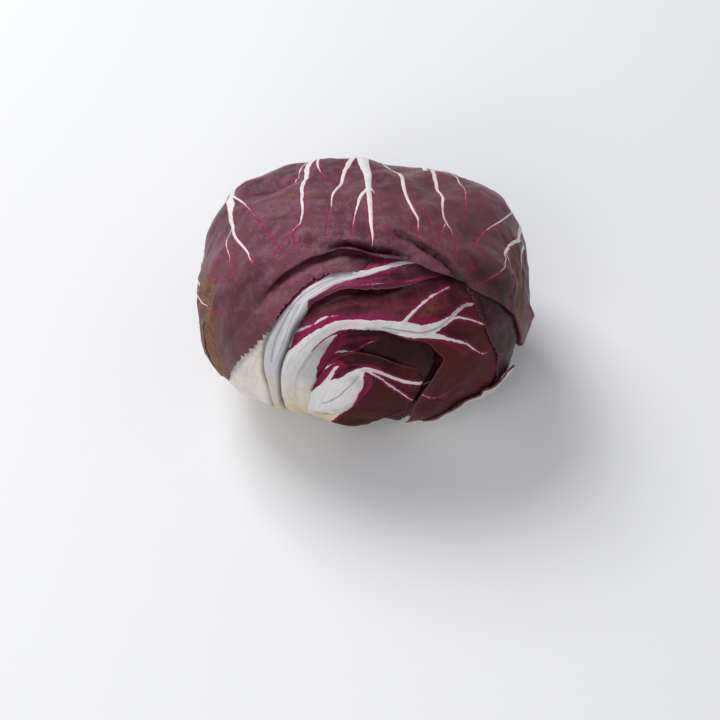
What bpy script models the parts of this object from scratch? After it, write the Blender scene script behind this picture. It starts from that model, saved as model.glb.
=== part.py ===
"""A radicchio head: a short stem with overlapping outer leaves around a tight nest of inner leaves.

Metres, +Z up. The origin is the middle of the cut stem face that the head stands on, +X is the
head's right-hand side and -Y is its front, where the petioles rise and the leaves part.
A place on the head is given as a bearing round the stem (0 at +X, 90 at the back, -90 in front)
and a rise above the middle of the head, both in degrees.
"""

import math
from collections import namedtuple

import bmesh
import bpy
import numpy as np
from mathutils import Matrix, Vector

MM = 0.001

# The head as a rounded loaf
HALF_WIDTH = 62.5 * MM
HALF_DEPTH = 50.5 * MM
HALF_HEIGHT = 46.5 * MM
MIDDLE_HEIGHT = 47.2 * MM
ROUNDNESS = 2.5
SWELL_ANGLE = 32.0
# Bearing, rise, millimetres out (+) or in (-)
SWELLS = (
    (130, 45, -3.0),
    (45, 40, -4.0),
    (90, 30, -3.0),
    (175, 25, -1.5),
    (-150, -15, 1.5),
    (-120, -25, -4.0),
    (-90, -30, 1.0),
    (-50, -20, -3.0),
)

# The stem, a cone cut flat where the head was harvested
STEM_FOOT_RADIUS = 14.0 * MM
STEM_TOP_RADIUS = 4.5 * MM
STEM_HEIGHT = 37.0 * MM
STEM_SIDES = 32
STEM_EDGE = 0.8 * MM
STEM_GAP = 0.45 * MM

# Leaf sheets
BLADE_THICKNESS = 0.9 * MM
INNER_THICKNESS = 1.8 * MM
RIB_EXTRA = 0.7 * MM
RIB_SHARE = 0.28

# The nest of inner leaves, each a smaller copy of the head's own shape
INNER_LEAVES = 11
INNER_FIRST_SCALE = 0.835
INNER_SCALE_STEP = 0.062
INNER_TURN = 137.5
INNER_FIRST_BEARING = -100.0
INNER_HALF_SPREAD = 104.0
# Cells of a full-size leaf. A smaller one needs fewer for the same flatness
INNER_CELLS_ACROSS = 14.0
INNER_CELLS_ALONG = 18.0
HEART_SCALE = 0.12
HEART_SEGMENTS = 16
HEART_RINGS = 10

Leaf = namedtuple("Leaf", "foot rows cells material")

BLADE = "burgundy_blade"
PETIOLE = "white_petiole"
NEST = "nest_blade"
STEM = "stem_flesh"
# Colour, roughness
FINISHES = {
    BLADE: ((0.115, 0.022, 0.036), 0.42),
    PETIOLE: ((0.78, 0.76, 0.68), 0.38),
    NEST: ((0.19, 0.035, 0.065), 0.45),
    STEM: ((0.62, 0.52, 0.36), 0.60),
}

# Each leaf is rows of places from its foot at the stem to its far margin, and each place is a
# bearing, a rise and how many millimetres it lies under the head's outline. The foot is the
# bearings of its two corners and its depth.
OUTER_LEAVES = {
    # Wraps the back, the crown and the left side. Its front margin folds under its own lip
    "wrapper_leaf": Leaf(
        (122, 58, 0.0),
        (
            ((165, -48, 0), (128, -46, 0), (90, -45, 0), (52, -46, 0), (18, -42, 0)),
            ((-168, -30, 0), (155, -15, 0), (120, -8, 0), (90, -6, 0), (60, -8, 0), (28, -14, 0),
             (2, -22, 0)),
            ((-156, -20, 0), (178, 10, 0), (140, 28, 0), (90, 36, 0), (40, 28, 0), (8, 10, 0), (-8, -4, 0)),
            ((-151, -15, 0), (-164, 20, 0), (-172, 48, 0), (90, 78, 0), (-2, 50, 0), (-12, 25, 0),
             (-18, 6, 0)),
            ((-150, -13, 0), (-147, 12, 0), (-142, 34, 0), (-137, 53, 0), (-110, 69, 0), (-62, 65, 0),
             (-44, 50, 0), (-33, 32, 0), (-24, 15, 0)),
            ((-147, -11, 0), (-140, 9, 0), (-132, 26, 0.5), (-126, 46, 1.4), (-100, 60, 1.4), (-60, 61, 1.0),
             (-42, 47, 0), (-31, 29, 0), (-26, 15, 0)),
        ),
        (20, 20),
        BLADE,
    ),
    # Wraps the right side, under the wrapper leaf
    "right_leaf": Leaf(
        (46, 2, 2.2),
        (
            ((70, -36, 2.2), (25, -38, 2.2), (-5, -42, 2.2), (-20, -40, 2.2)),
            ((75, -5, 2.2), (30, -8, 2.2), (-5, -12, 2.2), (-29, -12, 2.2)),
            ((70, 22, 2.2), (30, 18, 2.2), (0, 14, 2.2), (-36, 10, 2.2)),
            ((60, 42, 2.2), (30, 40, 2.2), (0, 36, 2.2), (-38, 25, 2.2)),
            ((40, 56, 2.2), (15, 54, 2.2), (-8, 48, 2.2), (-36, 37, 2.2)),
        ),
        (11, 10),
        BLADE,
    ),
    # The broad white petiole at the lower left, whose blade lies under the wrapper leaf
    "left_leaf": Leaf(
        (-167, -137, 1.5),
        (
            ((-170, -42, 1.8), (-150, -40, 1.4), (-134, -38, 1.2)),
            ((-172, -10, 1.9), (-150, -8, 1.7), (-132, -8, 1.2)),
            ((-170, 15, 1.9), (-150, 14, 1.8), (-132, 12, 1.4)),
            ((-164, 36, 1.9), (-150, 33, 1.9), (-137, 26, 1.9)),
        ),
        (7, 9),
        PETIOLE,
    ),
    # Its white rib rises at the left, turns at the top and runs right under the wrapper leaf's lip
    "long_rib_leaf": Leaf(
        (-135, -125, 1.2),
        (
            ((-131, -30, 1.2), (-128, -30, 1.0), (-123.5, -30, 1.2)),
            ((-130.5, -5, 1.4), (-127, -5, 1.1), (-123, -5, 1.4)),
            ((-131, 15, 1.8), (-126, 15, 1.4), (-123, 15, 1.6)),
            ((-134, 28, 3.2), (-126, 29, 2.6), (-122.5, 29, 1.8)),
            ((-138, 45, 3.4), (-127, 42, 3.0), (-121, 42, 2.2)),
            ((-132, 62, 3.4), (-118, 51, 3.0), (-112, 50, 2.4)),
            ((-100, 74, 3.4), (-98, 58, 3.0), (-95, 52.5, 2.4)),
            ((-50, 74, 3.6), (-62, 60, 3.4), (-68, 51, 2.6)),
            ((-20, 62, 4.2), (-38, 54, 4.0), (-46, 49.5, 4.0)),
        ),
        (7, 18),
        PETIOLE,
    ),
    # A hood: its rib crosses the middle, its lower blade comes down at the right
    "hood_leaf": Leaf(
        (-122, -112, 1.4),
        (
            ((-121, -36, 1.4), (-118, -36, 1.0), (-114, -36, 2.4), (-107, -36, 3.2)),
            ((-121, -10, 1.4), (-118, -10, 0.8), (-114, -10, 2.4), (-106, -12, 3.2)),
            ((-121, 12, 1.8), (-117, 11, 0.8), (-112, 10, 2.6), (-105, 8, 3.6)),
            ((-120.5, 30, 2.8), (-113, 27, 0.8), (-109, 24, 2.6), (-105, 20, 4.0)),
            ((-116, 43, 3.0), (-105, 36, 0.9), (-101, 31, 2.6)),
            ((-100, 47.5, 3.2), (-89, 39, 0.9), (-88, 35.5, 1.6)),
            ((-80, 47.5, 3.0), (-73, 37, 0.9), (-74, 32, 1.6)),
            ((-62, 47.5, 2.6), (-60, 33, 1.0), (-62, 23, 1.5)),
            ((-50, 47, 3.0), (-50, 30, 1.6), (-55, 14, 1.6), (-66, 2, 1.5)),
            ((-38, 45, 4.2), (-37, 28, 4.2), (-40, 5, 3.0), (-58, -10, 1.6), (-72, -17, 1.5)),
            ((-22, 38, 4.3), (-22, 15, 4.3), (-30, -12, 4.2), (-48, -28, 2.0), (-65, -34, 1.6)),
        ),
        (12, 22),
        BLADE,
    ),
    # White lobe in front; its rib runs right and its upper blade sinks under the hood leaf
    "front_leaf": Leaf(
        (-106, -90, 0.8),
        (
            ((-112, -38, 0.8), (-104, -40, 0.6), (-92, -42, 0.9)),
            ((-113, -12, 0.9), (-106, -16, 0.5), (-98, -30, 0.8)),
            ((-111, 4, 0.9), (-101, 0, 0.6), (-92, -22, 1.1)),
            ((-107, 15, 1.4), (-94, 14, 0.9), (-84, -14, 1.8), (-83, -24, 1.8)),
            ((-99, 23, 2.4), (-87, 18, 1.0), (-77, -6, 2.6), (-74, -21, 2.4)),
            ((-90, 28, 4.6), (-78, 13, 1.8), (-70, -4, 3.2), (-66, -20, 3.2)),
            ((-76, 27, 4.8), (-69, 9, 3.6), (-64, -4, 3.6), (-60, -18, 3.6)),
            ((-66, 18, 4.6), (-60, 5, 4.4), (-57, -4, 4.3), (-55, -14, 4.3)),
        ),
        (12, 14),
        BLADE,
    ),
    # Closes the underside in front
    "lower_front_leaf": Leaf(
        (-88, -66, 2.9),
        (
            ((-96, -44, 3.0), (-82, -42, 2.9), (-66, -42, 3.2)),
            ((-96, -22, 3.4), (-84, -18, 4.2), (-68, -18, 4.8)),
        ),
        (6, 5),
        PETIOLE,
    ),
    # Closes the underside at the back left
    "lower_left_leaf": Leaf(
        (190, 136, 1.9),
        (
            ((-173, -42, 1.9), (163, -40, 1.9), (135, -36, 1.9)),
            ((-175, -12, 1.9), (166, -5, 1.9), (140, -5, 1.9)),
            ((-176, 18, 1.9), (168, 24, 1.9), (146, 24, 1.9)),
        ),
        (7, 8),
        PETIOLE,
    ),
    # What is left of an outer leaf that was pulled off: a torn whitish stub at the lower right
    "trimmed_leaf_stub": Leaf(
        (-62, -30, 0.2),
        (
            ((-68, -45, 0.2), (-48, -44, 0.1), (-24, -44, 0.2)),
            ((-62, -24, 0.3), (-54, -22, 0.2), (-47, -24, 0.2), (-40, -20, 0.2), (-34, -20, 0.2),
             (-27, -15, 0.3)),
        ),
        (10, 4),
        PETIOLE,
    ),
}


def heading(bearing, rise):
    """The unit vector of a place on the head."""
    turn, lift = np.radians(bearing), np.radians(rise)
    return np.stack([np.cos(lift) * np.cos(turn), np.cos(lift) * np.sin(turn), np.sin(lift)], -1)


def outline_radius(directions):
    """How far the head's outline is from its middle, along each unit vector."""
    half = np.array([HALF_WIDTH, HALF_DEPTH, HALF_HEIGHT])
    radius = (np.abs(directions / half) ** ROUNDNESS).sum(-1) ** (-1 / ROUNDNESS)
    for bearing, rise, out in SWELLS:
        angle = np.degrees(np.arccos(np.clip(directions @ heading(bearing, rise), -1, 1)))
        radius = radius + out * MM * np.exp(-((angle / SWELL_ANGLE) ** 2))
    return radius


def stem_radius(height):
    """The stem's radius at this height."""
    share = np.clip(height / STEM_HEIGHT, 0, 1)
    return STEM_FOOT_RADIUS + (STEM_TOP_RADIUS - STEM_FOOT_RADIUS) * share


def smooth_line(points, count):
    """A Catmull-Rom line through the points, read at evenly spaced places."""
    points = np.asarray(points, float)
    before, after = 2 * points[0] - points[1], 2 * points[-1] - points[-2]
    ends = np.concatenate([before[None], points, after[None]])
    place = np.linspace(0, len(points) - 1, count)
    step = np.minimum(place.astype(int), len(points) - 2)
    t = (place - step).reshape((-1,) + (1,) * (points.ndim - 1))
    a, b, c, d = ends[step], ends[step + 1], ends[step + 2], ends[step + 3]
    return 0.5 * (2 * b + (c - a) * t + (2 * a - 5 * b + 4 * c - d) * t**2 + (3 * b - 3 * c + d - a) * t**3)


def foot_rise(bearing, depth, scale):
    """How far down a leaf reaches along this bearing before it meets the stem."""
    low, high = -88.0, -10.0
    for _ in range(40):
        rise = (low + high) / 2
        direction = heading(bearing, rise)
        radius = outline_radius(direction) * scale - depth * MM
        height = MIDDLE_HEIGHT + radius * direction[2]
        if radius * math.hypot(direction[0], direction[1]) < stem_radius(height) + STEM_GAP:
            low = rise
        else:
            high = rise
    return high


def foot_row(first, last, depth, scale):
    """A leaf's first row, round the stem."""
    bearings = np.linspace(first, last, 5)
    return tuple((b, foot_rise(b, depth, scale), depth) for b in bearings)


def leaf_surface(rows, cells, scale):
    """The points of a leaf's outer face, as an array of rows of points."""
    across, along = cells
    lines = []
    for row in rows:
        places = [np.append(heading(bearing, rise), depth * MM) for bearing, rise, depth in row]
        lines.append(smooth_line(places, across + 1))
    grid = smooth_line(lines, along + 1)
    directions = grid[..., :3] / np.linalg.norm(grid[..., :3], axis=-1, keepdims=True)
    radius = outline_radius(directions) * scale - grid[..., 3]
    return directions * radius[..., None] + np.array([0, 0, MIDDLE_HEIGHT])


def finish_named(name):
    """The Principled material of this name, made once."""
    material = bpy.data.materials.get(name)
    if material:
        return material
    colour, roughness = FINISHES[name]
    material = bpy.data.materials.new(name)
    material.use_nodes = True
    shader = material.node_tree.nodes["Principled BSDF"]
    shader.inputs["Base Color"].default_value = (*colour, 1)
    shader.inputs["Roughness"].default_value = roughness
    shader.inputs["Metallic"].default_value = 0
    material.diffuse_color = (*colour, 1)
    return material


def add_object(name, shape, material):
    """Turns a bmesh into an object with a material of its own."""
    mesh = bpy.data.meshes.new(name)
    shape.to_mesh(mesh)
    shape.free()
    mesh.shade_smooth()
    part = bpy.data.objects.new(name, mesh)
    bpy.context.scene.collection.objects.link(part)
    own = finish_named(material).copy()
    own.name = f"{name}_{material}"
    mesh.materials.append(own)
    return part


def add_leaf(name, rows, cells, material, thickness, rib_extra, scale=1.0):
    """One leaf: a grid laid on the leaf's outer face, then thickened inwards, most along its rib."""
    across, along = cells
    surface = leaf_surface(rows, cells, scale)
    shape = bmesh.new()
    bmesh.ops.create_grid(shape, x_segments=across, y_segments=along, size=1)
    deform = shape.verts.layers.deform.verify()
    for vert in shape.verts:
        column = round((vert.co.x + 1) / 2 * across)
        row = round((vert.co.y + 1) / 2 * along)
        vert.co = surface[row, column]
        off_rib = abs(column / across - 0.5) / RIB_SHARE
        towards_tip = row / along
        vert[deform][0] = max(0.0, 1 - off_rib) * (1 - towards_tip)
    shape.normal_update()
    head_middle = Vector((0, 0, MIDDLE_HEIGHT))
    facing = sum(face.normal.dot(face.calc_center_median() - head_middle) for face in shape.faces)
    if facing < 0:
        bmesh.ops.reverse_faces(shape, faces=shape.faces)
    part = add_object(name, shape, material)
    part.vertex_groups.new(name="rib")
    shell = part.modifiers.new("thickness", "SOLIDIFY")
    shell.thickness = thickness + rib_extra
    shell.offset = -1
    shell.vertex_group = "rib"
    shell.thickness_vertex_group = thickness / (thickness + rib_extra)
    return part


def inner_rows(bearing, scale):
    """The rows of an inner leaf that rises at this bearing, wraps both sides and closes over the crown."""
    spread = INNER_HALF_SPREAD
    rows = [foot_row(bearing + 42, bearing - 42, 0, scale)]
    for rise, reach, side_drop in ((-42, 0.72, 0), (-8, 1.0, 4), (28, 1.0, 6)):
        turns = np.linspace(-1, 1, 5)
        places = ((bearing - turn * reach * spread, rise - side_drop * turn**2, 0) for turn in turns)
        rows.append(tuple(places))
    rows.append(((bearing + 118, 46, 0), (bearing + 104, 66, 0), (bearing, 84, 0), (bearing - 104, 66, 0),
                 (bearing - 118, 46, 0)))
    rows.append(((bearing + 140, 50, 0), (bearing + 158, 58, 0), (bearing + 180, 62, 0),
                 (bearing - 158, 58, 0), (bearing - 140, 50, 0)))
    return rows


def add_inner_leaves():
    """The nest: each leaf is a little smaller than the last and turned by the golden angle."""
    for number in range(INNER_LEAVES):
        bearing = INNER_FIRST_BEARING + number * INNER_TURN
        scale = INNER_FIRST_SCALE - number * INNER_SCALE_STEP
        cells = (round(INNER_CELLS_ACROSS * math.sqrt(scale)), round(INNER_CELLS_ALONG * math.sqrt(scale)))
        name = f"inner_leaf_{number + 1:02d}"
        add_leaf(name, inner_rows(bearing, scale), cells, NEST, INNER_THICKNESS, 0, scale)


def add_heart():
    """The bud in the middle of the nest, a small copy of the head's own shape."""
    shape = bmesh.new()
    bmesh.ops.create_uvsphere(shape, u_segments=HEART_SEGMENTS, v_segments=HEART_RINGS, radius=1)
    for vert in shape.verts:
        direction = np.array(vert.co.normalized())
        vert.co = Vector(direction * outline_radius(direction) * HEART_SCALE)
    bmesh.ops.translate(shape, vec=(0, 0, MIDDLE_HEIGHT), verts=shape.verts)
    add_object("heart_bud", shape, NEST)


def add_stem():
    """The stem: a cone with its foot's edge broken by the knife."""
    shape = bmesh.new()
    bmesh.ops.create_cone(
        shape,
        cap_ends=True,
        segments=STEM_SIDES,
        radius1=STEM_FOOT_RADIUS,
        radius2=STEM_TOP_RADIUS,
        depth=STEM_HEIGHT,
        matrix=Matrix.Translation((0, 0, STEM_HEIGHT / 2)),
    )
    foot = [edge for edge in shape.edges if all(vert.co.z < STEM_EDGE for vert in edge.verts)]
    bmesh.ops.bevel(shape, geom=foot, offset=STEM_EDGE, segments=2, affect="EDGES", profile=0.5)
    add_object("stem_core", shape, STEM)


def main():
    for old in list(bpy.data.objects):
        bpy.data.objects.remove(old, do_unlink=True)
    add_stem()
    for name, leaf in OUTER_LEAVES.items():
        first, last, depth = leaf.foot
        rows = [foot_row(first, last, depth, 1.0), *leaf.rows]
        add_leaf(name, rows, leaf.cells, leaf.material, BLADE_THICKNESS, RIB_EXTRA)
    add_inner_leaves()
    add_heart()


main()
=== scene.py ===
"""A radicchio head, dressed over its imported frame.

Each leaf is a sheet laid on the head's own outline. A place on the head is a bearing round the
stem (0 at +X, 90 at the back, -90 in front) and a rise above the head's middle, in degrees, and a
depth is how far the sheet lies under the outline. Sizes in the leaf classes are millimetres.
"""

import logging
import math
from collections.abc import Callable
from dataclasses import dataclass
from enum import Enum

import bpy
import numpy as np
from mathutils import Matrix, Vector


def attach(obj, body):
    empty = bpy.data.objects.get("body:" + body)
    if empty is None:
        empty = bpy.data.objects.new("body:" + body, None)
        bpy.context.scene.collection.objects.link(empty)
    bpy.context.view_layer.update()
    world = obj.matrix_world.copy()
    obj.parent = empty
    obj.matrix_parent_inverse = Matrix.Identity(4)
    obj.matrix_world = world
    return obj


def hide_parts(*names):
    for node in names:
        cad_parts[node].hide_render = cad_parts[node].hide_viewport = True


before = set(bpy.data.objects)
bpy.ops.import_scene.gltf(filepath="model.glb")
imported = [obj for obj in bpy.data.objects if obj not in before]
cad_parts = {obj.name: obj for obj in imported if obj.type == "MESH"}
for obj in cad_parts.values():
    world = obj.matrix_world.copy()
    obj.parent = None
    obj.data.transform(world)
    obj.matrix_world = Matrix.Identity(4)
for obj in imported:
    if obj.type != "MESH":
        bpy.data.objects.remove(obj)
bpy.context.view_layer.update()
LOG = logging.getLogger("radicchio")

MM = 0.001
BODY = "root"
BLADE_SLOT = "burgundy_blade"
PETIOLE_SLOT = "white_petiole"
NEST_SLOT = "nest_blade"

Array = np.ndarray
Piece = bpy.types.Object
Tree = bpy.types.NodeTree
Place = tuple[float, float]
DeepPlace = tuple[float, float, float]
Colour = tuple[float, float, float]
Line = tuple[Place, ...]
Rows = tuple[tuple[DeepPlace, ...], ...]
Numbers = tuple[float, ...]
Wave = tuple[float, float]
Reach = tuple[float, float]
Socket = bpy.types.NodeSocket
Value = Socket | float
Paint = Socket | Colour

USUAL_RADIUS = 50  # millimetres from the head's middle to its skin
SIDE_RADIUS = 48  # the same along a leaf's side
TO_MILLIMETRES = (1000, 1000, 1000)
FAR = 9.0  # millimetres: past all that a vein or a margin colours
VEIN_CHANNELS = 3
EVERYWHERE = (-1e9, 1e9)


# ---- the head's shape


def heading(bearing: Array, rise: Array) -> Array:
    """Find the unit vectors of places on the head.

    Args:
        bearing: Degrees round the stem.
        rise: Degrees above the middle of the head.

    Returns:
        The unit vectors, with their three parts on the last axis.
    """
    turn, lift = np.radians(bearing), np.radians(rise)
    return np.stack([np.cos(lift) * np.cos(turn), np.cos(lift) * np.sin(turn), np.sin(lift)], -1)


def unit(vectors: Array) -> Array:
    """Give vectors a length of 1."""
    return vectors / np.linalg.norm(vectors, axis=-1, keepdims=True)


def spline(lines: Array, stations: Array, places: Array) -> Array:
    """Read a smooth curve through each column of points.

    Args:
        lines: The points, as an array of knots by columns by parts.
        stations: How far along each knot lies.
        places: Where to read, as an array of rows by columns.

    Returns:
        The points read, as an array of rows by columns by parts.
    """
    steps = np.diff(stations)[:, None, None]
    slopes = np.diff(lines, axis=0) / steps
    inner = (slopes[:-1] * steps[1:] + slopes[1:] * steps[:-1]) / (steps[:-1] + steps[1:])
    tangents = np.concatenate([slopes[:1], inner, slopes[-1:]])
    knot = np.clip(np.searchsorted(stations, places, side="right") - 1, 0, len(stations) - 2)
    column = np.broadcast_to(np.arange(lines.shape[1]), places.shape)
    step = np.diff(stations)[knot][..., None]
    t = (places - stations[knot])[..., None] / step
    before, after = lines[knot, column], lines[knot + 1, column]
    leaving, arriving = tangents[knot, column] * step, tangents[knot + 1, column] * step
    return (
        before * (1 + 2 * t) * (1 - t) ** 2
        + leaving * t * (1 - t) ** 2
        + after * t**2 * (3 - 2 * t)
        + arriving * t**2 * (t - 1)
    )


def even_line(points: Array, count: int) -> Array:
    """Space points evenly along a smooth line.

    Args:
        points: The knots of the line, as rows whose first three parts are a place.
        count: How many points to give.

    Returns:
        The evenly spaced points.
    """
    gaps = np.linalg.norm(np.diff(points[:, :3], axis=0), axis=1)
    stations = np.concatenate([[0], np.cumsum(np.maximum(gaps, 1e-6))])
    places = np.linspace(0, stations[-1], count)[:, None]
    return spline(points[:, None, :], stations, places)[:, 0]


def run_along(points: Array) -> Array:
    """Add up the lengths along lines of points.

    Args:
        points: The points, one after another on the first axis.

    Returns:
        How far along its line each point lies, from 0.
    """
    steps = np.linalg.norm(np.diff(points, axis=0), axis=-1)
    return np.insert(np.cumsum(steps, axis=0), 0, 0, axis=0)


def ripple(points: Array, wavelength: float, seed: int) -> Array:
    """Make a smooth random field from crossing waves.

    Args:
        points: Places in millimetres.
        wavelength: The usual distance between two crests.
        seed: Picks one field.

    Returns:
        Values of about -1 to 1.
    """
    chance = np.random.default_rng(seed)
    total = np.zeros(points.shape[:-1])
    waves = 9
    for _ in range(waves):
        direction = chance.normal(size=3)
        direction *= math.tau / wavelength * chance.uniform(0.7, 1.5) / np.linalg.norm(direction)
        total += np.sin(points @ direction + chance.uniform(0, math.tau))
    return total / math.sqrt(waves)


def ease(value: Array, low: float, high: float) -> Array:
    """Rise smoothly from 0 at low to 1 at high.

    Args:
        value: The values to ease.
        low: Where the rise starts.
        high: Where it ends.

    Returns:
        The eased values.
    """
    share = np.clip((value - low) / (high - low), 0, 1)
    return share * share * (3 - 2 * share)


@dataclass
class HeadShape:
    """The head's outline: a rounded loaf with shallow swells, standing on its cut stem."""

    half_sizes: tuple[float, float, float] = (62.5, 50.5, 46.5)
    middle_height: float = 47.2
    roundness: float = 2.5
    swells: tuple[tuple[float, float, float, float], ...] = (
        (130, 45, -3.0, 32), (45, 40, -4.0, 32), (90, 30, -3.0, 32), (175, 25, -1.5, 32),
        (-150, -15, 1.8, 32), (-120, -25, -4.0, 32), (-90, -30, 1.0, 32), (-98, -33, 1.6, 9),
        (-50, -20, -3.0, 32), (148, 22, 1.9, 8), (147, 39, -4.4, 9), (172, 20, -0.8, 10),
        (116, 44, 1.9, 10), (86, 48, 1.6, 13), (40, 47, -2.2, 9), (64, 46, -2.8, 9),
        (-31, -22, 2.6, 11), (31, 22, 2.0, 9), (-14, 16, -1.6, 13), (-42, -20, -1.4, 11),
        (-70, -32, 2.0, 11), (-55, -25, 1.6, 9), (-25, 1, 1.0, 8),
    )
    stem_foot_radius: float = 14.0
    stem_top_radius: float = 4.5
    stem_height: float = 37.0
    stem_gap: float = 0.6

    @property
    def middle(self) -> Array:
        """Give the head's middle, in millimetres from the middle of the stem's foot."""
        return np.array([0, 0, self.middle_height])

    def outline(self, directions: Array) -> Array:
        """Measure the outline from the head's middle.

        Args:
            directions: Unit vectors.

        Returns:
            The distance in millimetres along each of them.
        """
        radius = (np.abs(directions / np.array(self.half_sizes)) ** self.roundness).sum(-1)
        radius = radius ** (-1 / self.roundness)
        for bearing, rise, out, spread in self.swells:
            angle = np.degrees(np.arccos(np.clip(directions @ heading(bearing, rise), -1, 1)))
            radius = radius + out * np.exp(-((angle / spread) ** 2))
        return radius

    def place(self, directions: Array, depth: Array | float) -> Array:
        """Find points at a depth under the outline, in millimetres from the middle of the stem's foot."""
        radius = self.outline(directions) - depth
        return directions * radius[..., None] + self.middle

    def foot_rise(self, bearing: float, depth: float, scale: float = 1.0) -> float:
        """Find where a leaf meets the stem.

        Args:
            bearing: Degrees round the stem.
            depth: Millimetres under the outline.
            scale: Shrinks the outline for an inner leaf.

        Returns:
            The rise there, in degrees.
        """
        low, high = -88.0, -10.0
        halvings = 30
        for _ in range(halvings):
            rise = (low + high) / 2
            direction = heading(bearing, rise)
            radius = self.outline(direction) * scale - depth
            height = self.middle_height + radius * direction[2]
            share = min(max(height / self.stem_height, 0), 1)
            stem = self.stem_foot_radius + (self.stem_top_radius - self.stem_foot_radius) * share
            if radius * math.hypot(direction[0], direction[1]) < stem + self.stem_gap:
                low = rise
            else:
                high = rise
        return high


@dataclass(frozen=True)
class Measured:
    """How points lie beside a route: all in millimetres but the share along it."""

    distance: Array
    side: Array
    share: Array
    knots: Array

    def width(self, widths: Numbers) -> Array:
        """Read a width that is given at each knot of the route."""
        return np.interp(self.share, self.knots, widths)


def measure(head: HeadShape, places: Line, points: Array) -> Measured:
    """Measure points against a line drawn on the head.

    Args:
        head: The head's shape.
        places: The line's knots.
        points: Points on the outline, in millimetres.

    Returns:
        Their distance from the line, which side they are on and how far along.
    """
    bearings, rises = np.array(places, float).T
    knots = head.place(heading(bearings, rises), 0)
    if len(knots) == 1:
        distance = np.linalg.norm(points - knots[0], axis=-1)
        return Measured(distance, distance, np.zeros(len(points)), np.zeros(1))
    steps = np.linalg.norm(np.diff(knots, axis=0), axis=1)
    length = steps.sum()
    sample_gap = 0.6
    count = max(3, int(length / sample_gap))
    samples = even_line(knots, count)
    spacing = length / (count - 1)
    tangent = unit(np.gradient(samples, axis=0))
    aside = unit(np.cross(samples - head.middle, tangent))
    squared = (samples**2).sum(1)[None] - 2 * points @ samples.T
    nearest = squared.argmin(1)
    gap = points - samples[nearest]
    along = (gap * tangent[nearest]).sum(1)
    side = (gap * aside[nearest]).sum(1)
    beyond = np.maximum(0, np.abs(along) - spacing)
    share = np.clip((nearest + along / spacing) / (count - 1), 0, 1)
    return Measured(np.hypot(side, beyond), side, share, np.concatenate([[0], np.cumsum(steps)]) / length)


# ---- what a leaf carries


class Tint(Enum):
    """The shades that a patch can lay over a leaf."""

    BLUSH = 0
    BRONZE = 1
    BEIGE = 2
    # The shade tint is mostly painted shade, laid in gaps, creases, hollows and under lips; on a few white
    # ribs it is a grey tone of the rib
    PAINTED_SHADE = 3
    # The warm tint is partly the leaf's own brown and partly painted light: a painted sheen on the wrapper's
    # right, and painted shade with a painted warm reflection on lower and right sides
    BROWN_AND_PAINTED_LIGHT = 4


BLUSH, BRONZE, BEIGE, PAINTED_SHADE, BROWN_AND_PAINTED_LIGHT = Tint


# A mark's reach is the span of stations that it keeps to. Without one it has its leaf's own.


@dataclass(frozen=True)
class Vein:
    """A vein: its line and its half-width at each knot. Below 0 it is only a coloured line."""

    line: Line
    widths: Numbers
    channel: int = 0
    height: float = 0.22
    reach: Reach | None = None


@dataclass(frozen=True)
class Fold:
    """A crease, ridge or dent along a line. Lean lifts one side of it and lowers the other."""

    line: Line
    width: float
    height: float
    lean: float = 0.0
    reach: Reach | None = None


@dataclass(frozen=True)
class Patch:
    """A soft patch of one shade round a line or a spot."""

    line: Line
    radius: float
    amount: float
    tint: Tint
    reach: Reach | None = None


class Edge(Enum):
    """The edges of a leaf that can be bitten."""

    TIP = "far margin"
    SIDE = "last side"


@dataclass(frozen=True)
class Teeth:
    """A bitten edge: how deep and how far apart the bites are, in millimetres."""

    edge: Edge
    depth: float
    spacing: float
    seed: int
    start: float = 0.0
    end: float = 1.0


def bites(teeth: Teeth, along: Array) -> Array:
    """Cut an edge back in uneven bites.

    Args:
        teeth: How the edge is bitten.
        along: Millimetres along the edge.

    Returns:
        How far each point is cut back.
    """
    flat = np.stack([along, 0 * along, 0 * along], -1)
    turn = math.pi * along / teeth.spacing + 1.6 * ripple(flat, 3.1 * teeth.spacing, teeth.seed)
    size = 0.55 + 0.45 * ripple(flat, 4.3 * teeth.spacing, teeth.seed + 1)
    share = along / along[-1]
    inside = ease(share, teeth.start - 0.01, teeth.start + 0.03)
    inside = inside * (1 - ease(share, teeth.end - 0.03, teeth.end + 0.01))
    return teeth.depth * (1 - np.abs(np.sin(turn)) ** 0.8) * np.clip(size, 0.3, 1.2) * inside


# ---- finishes


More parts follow.
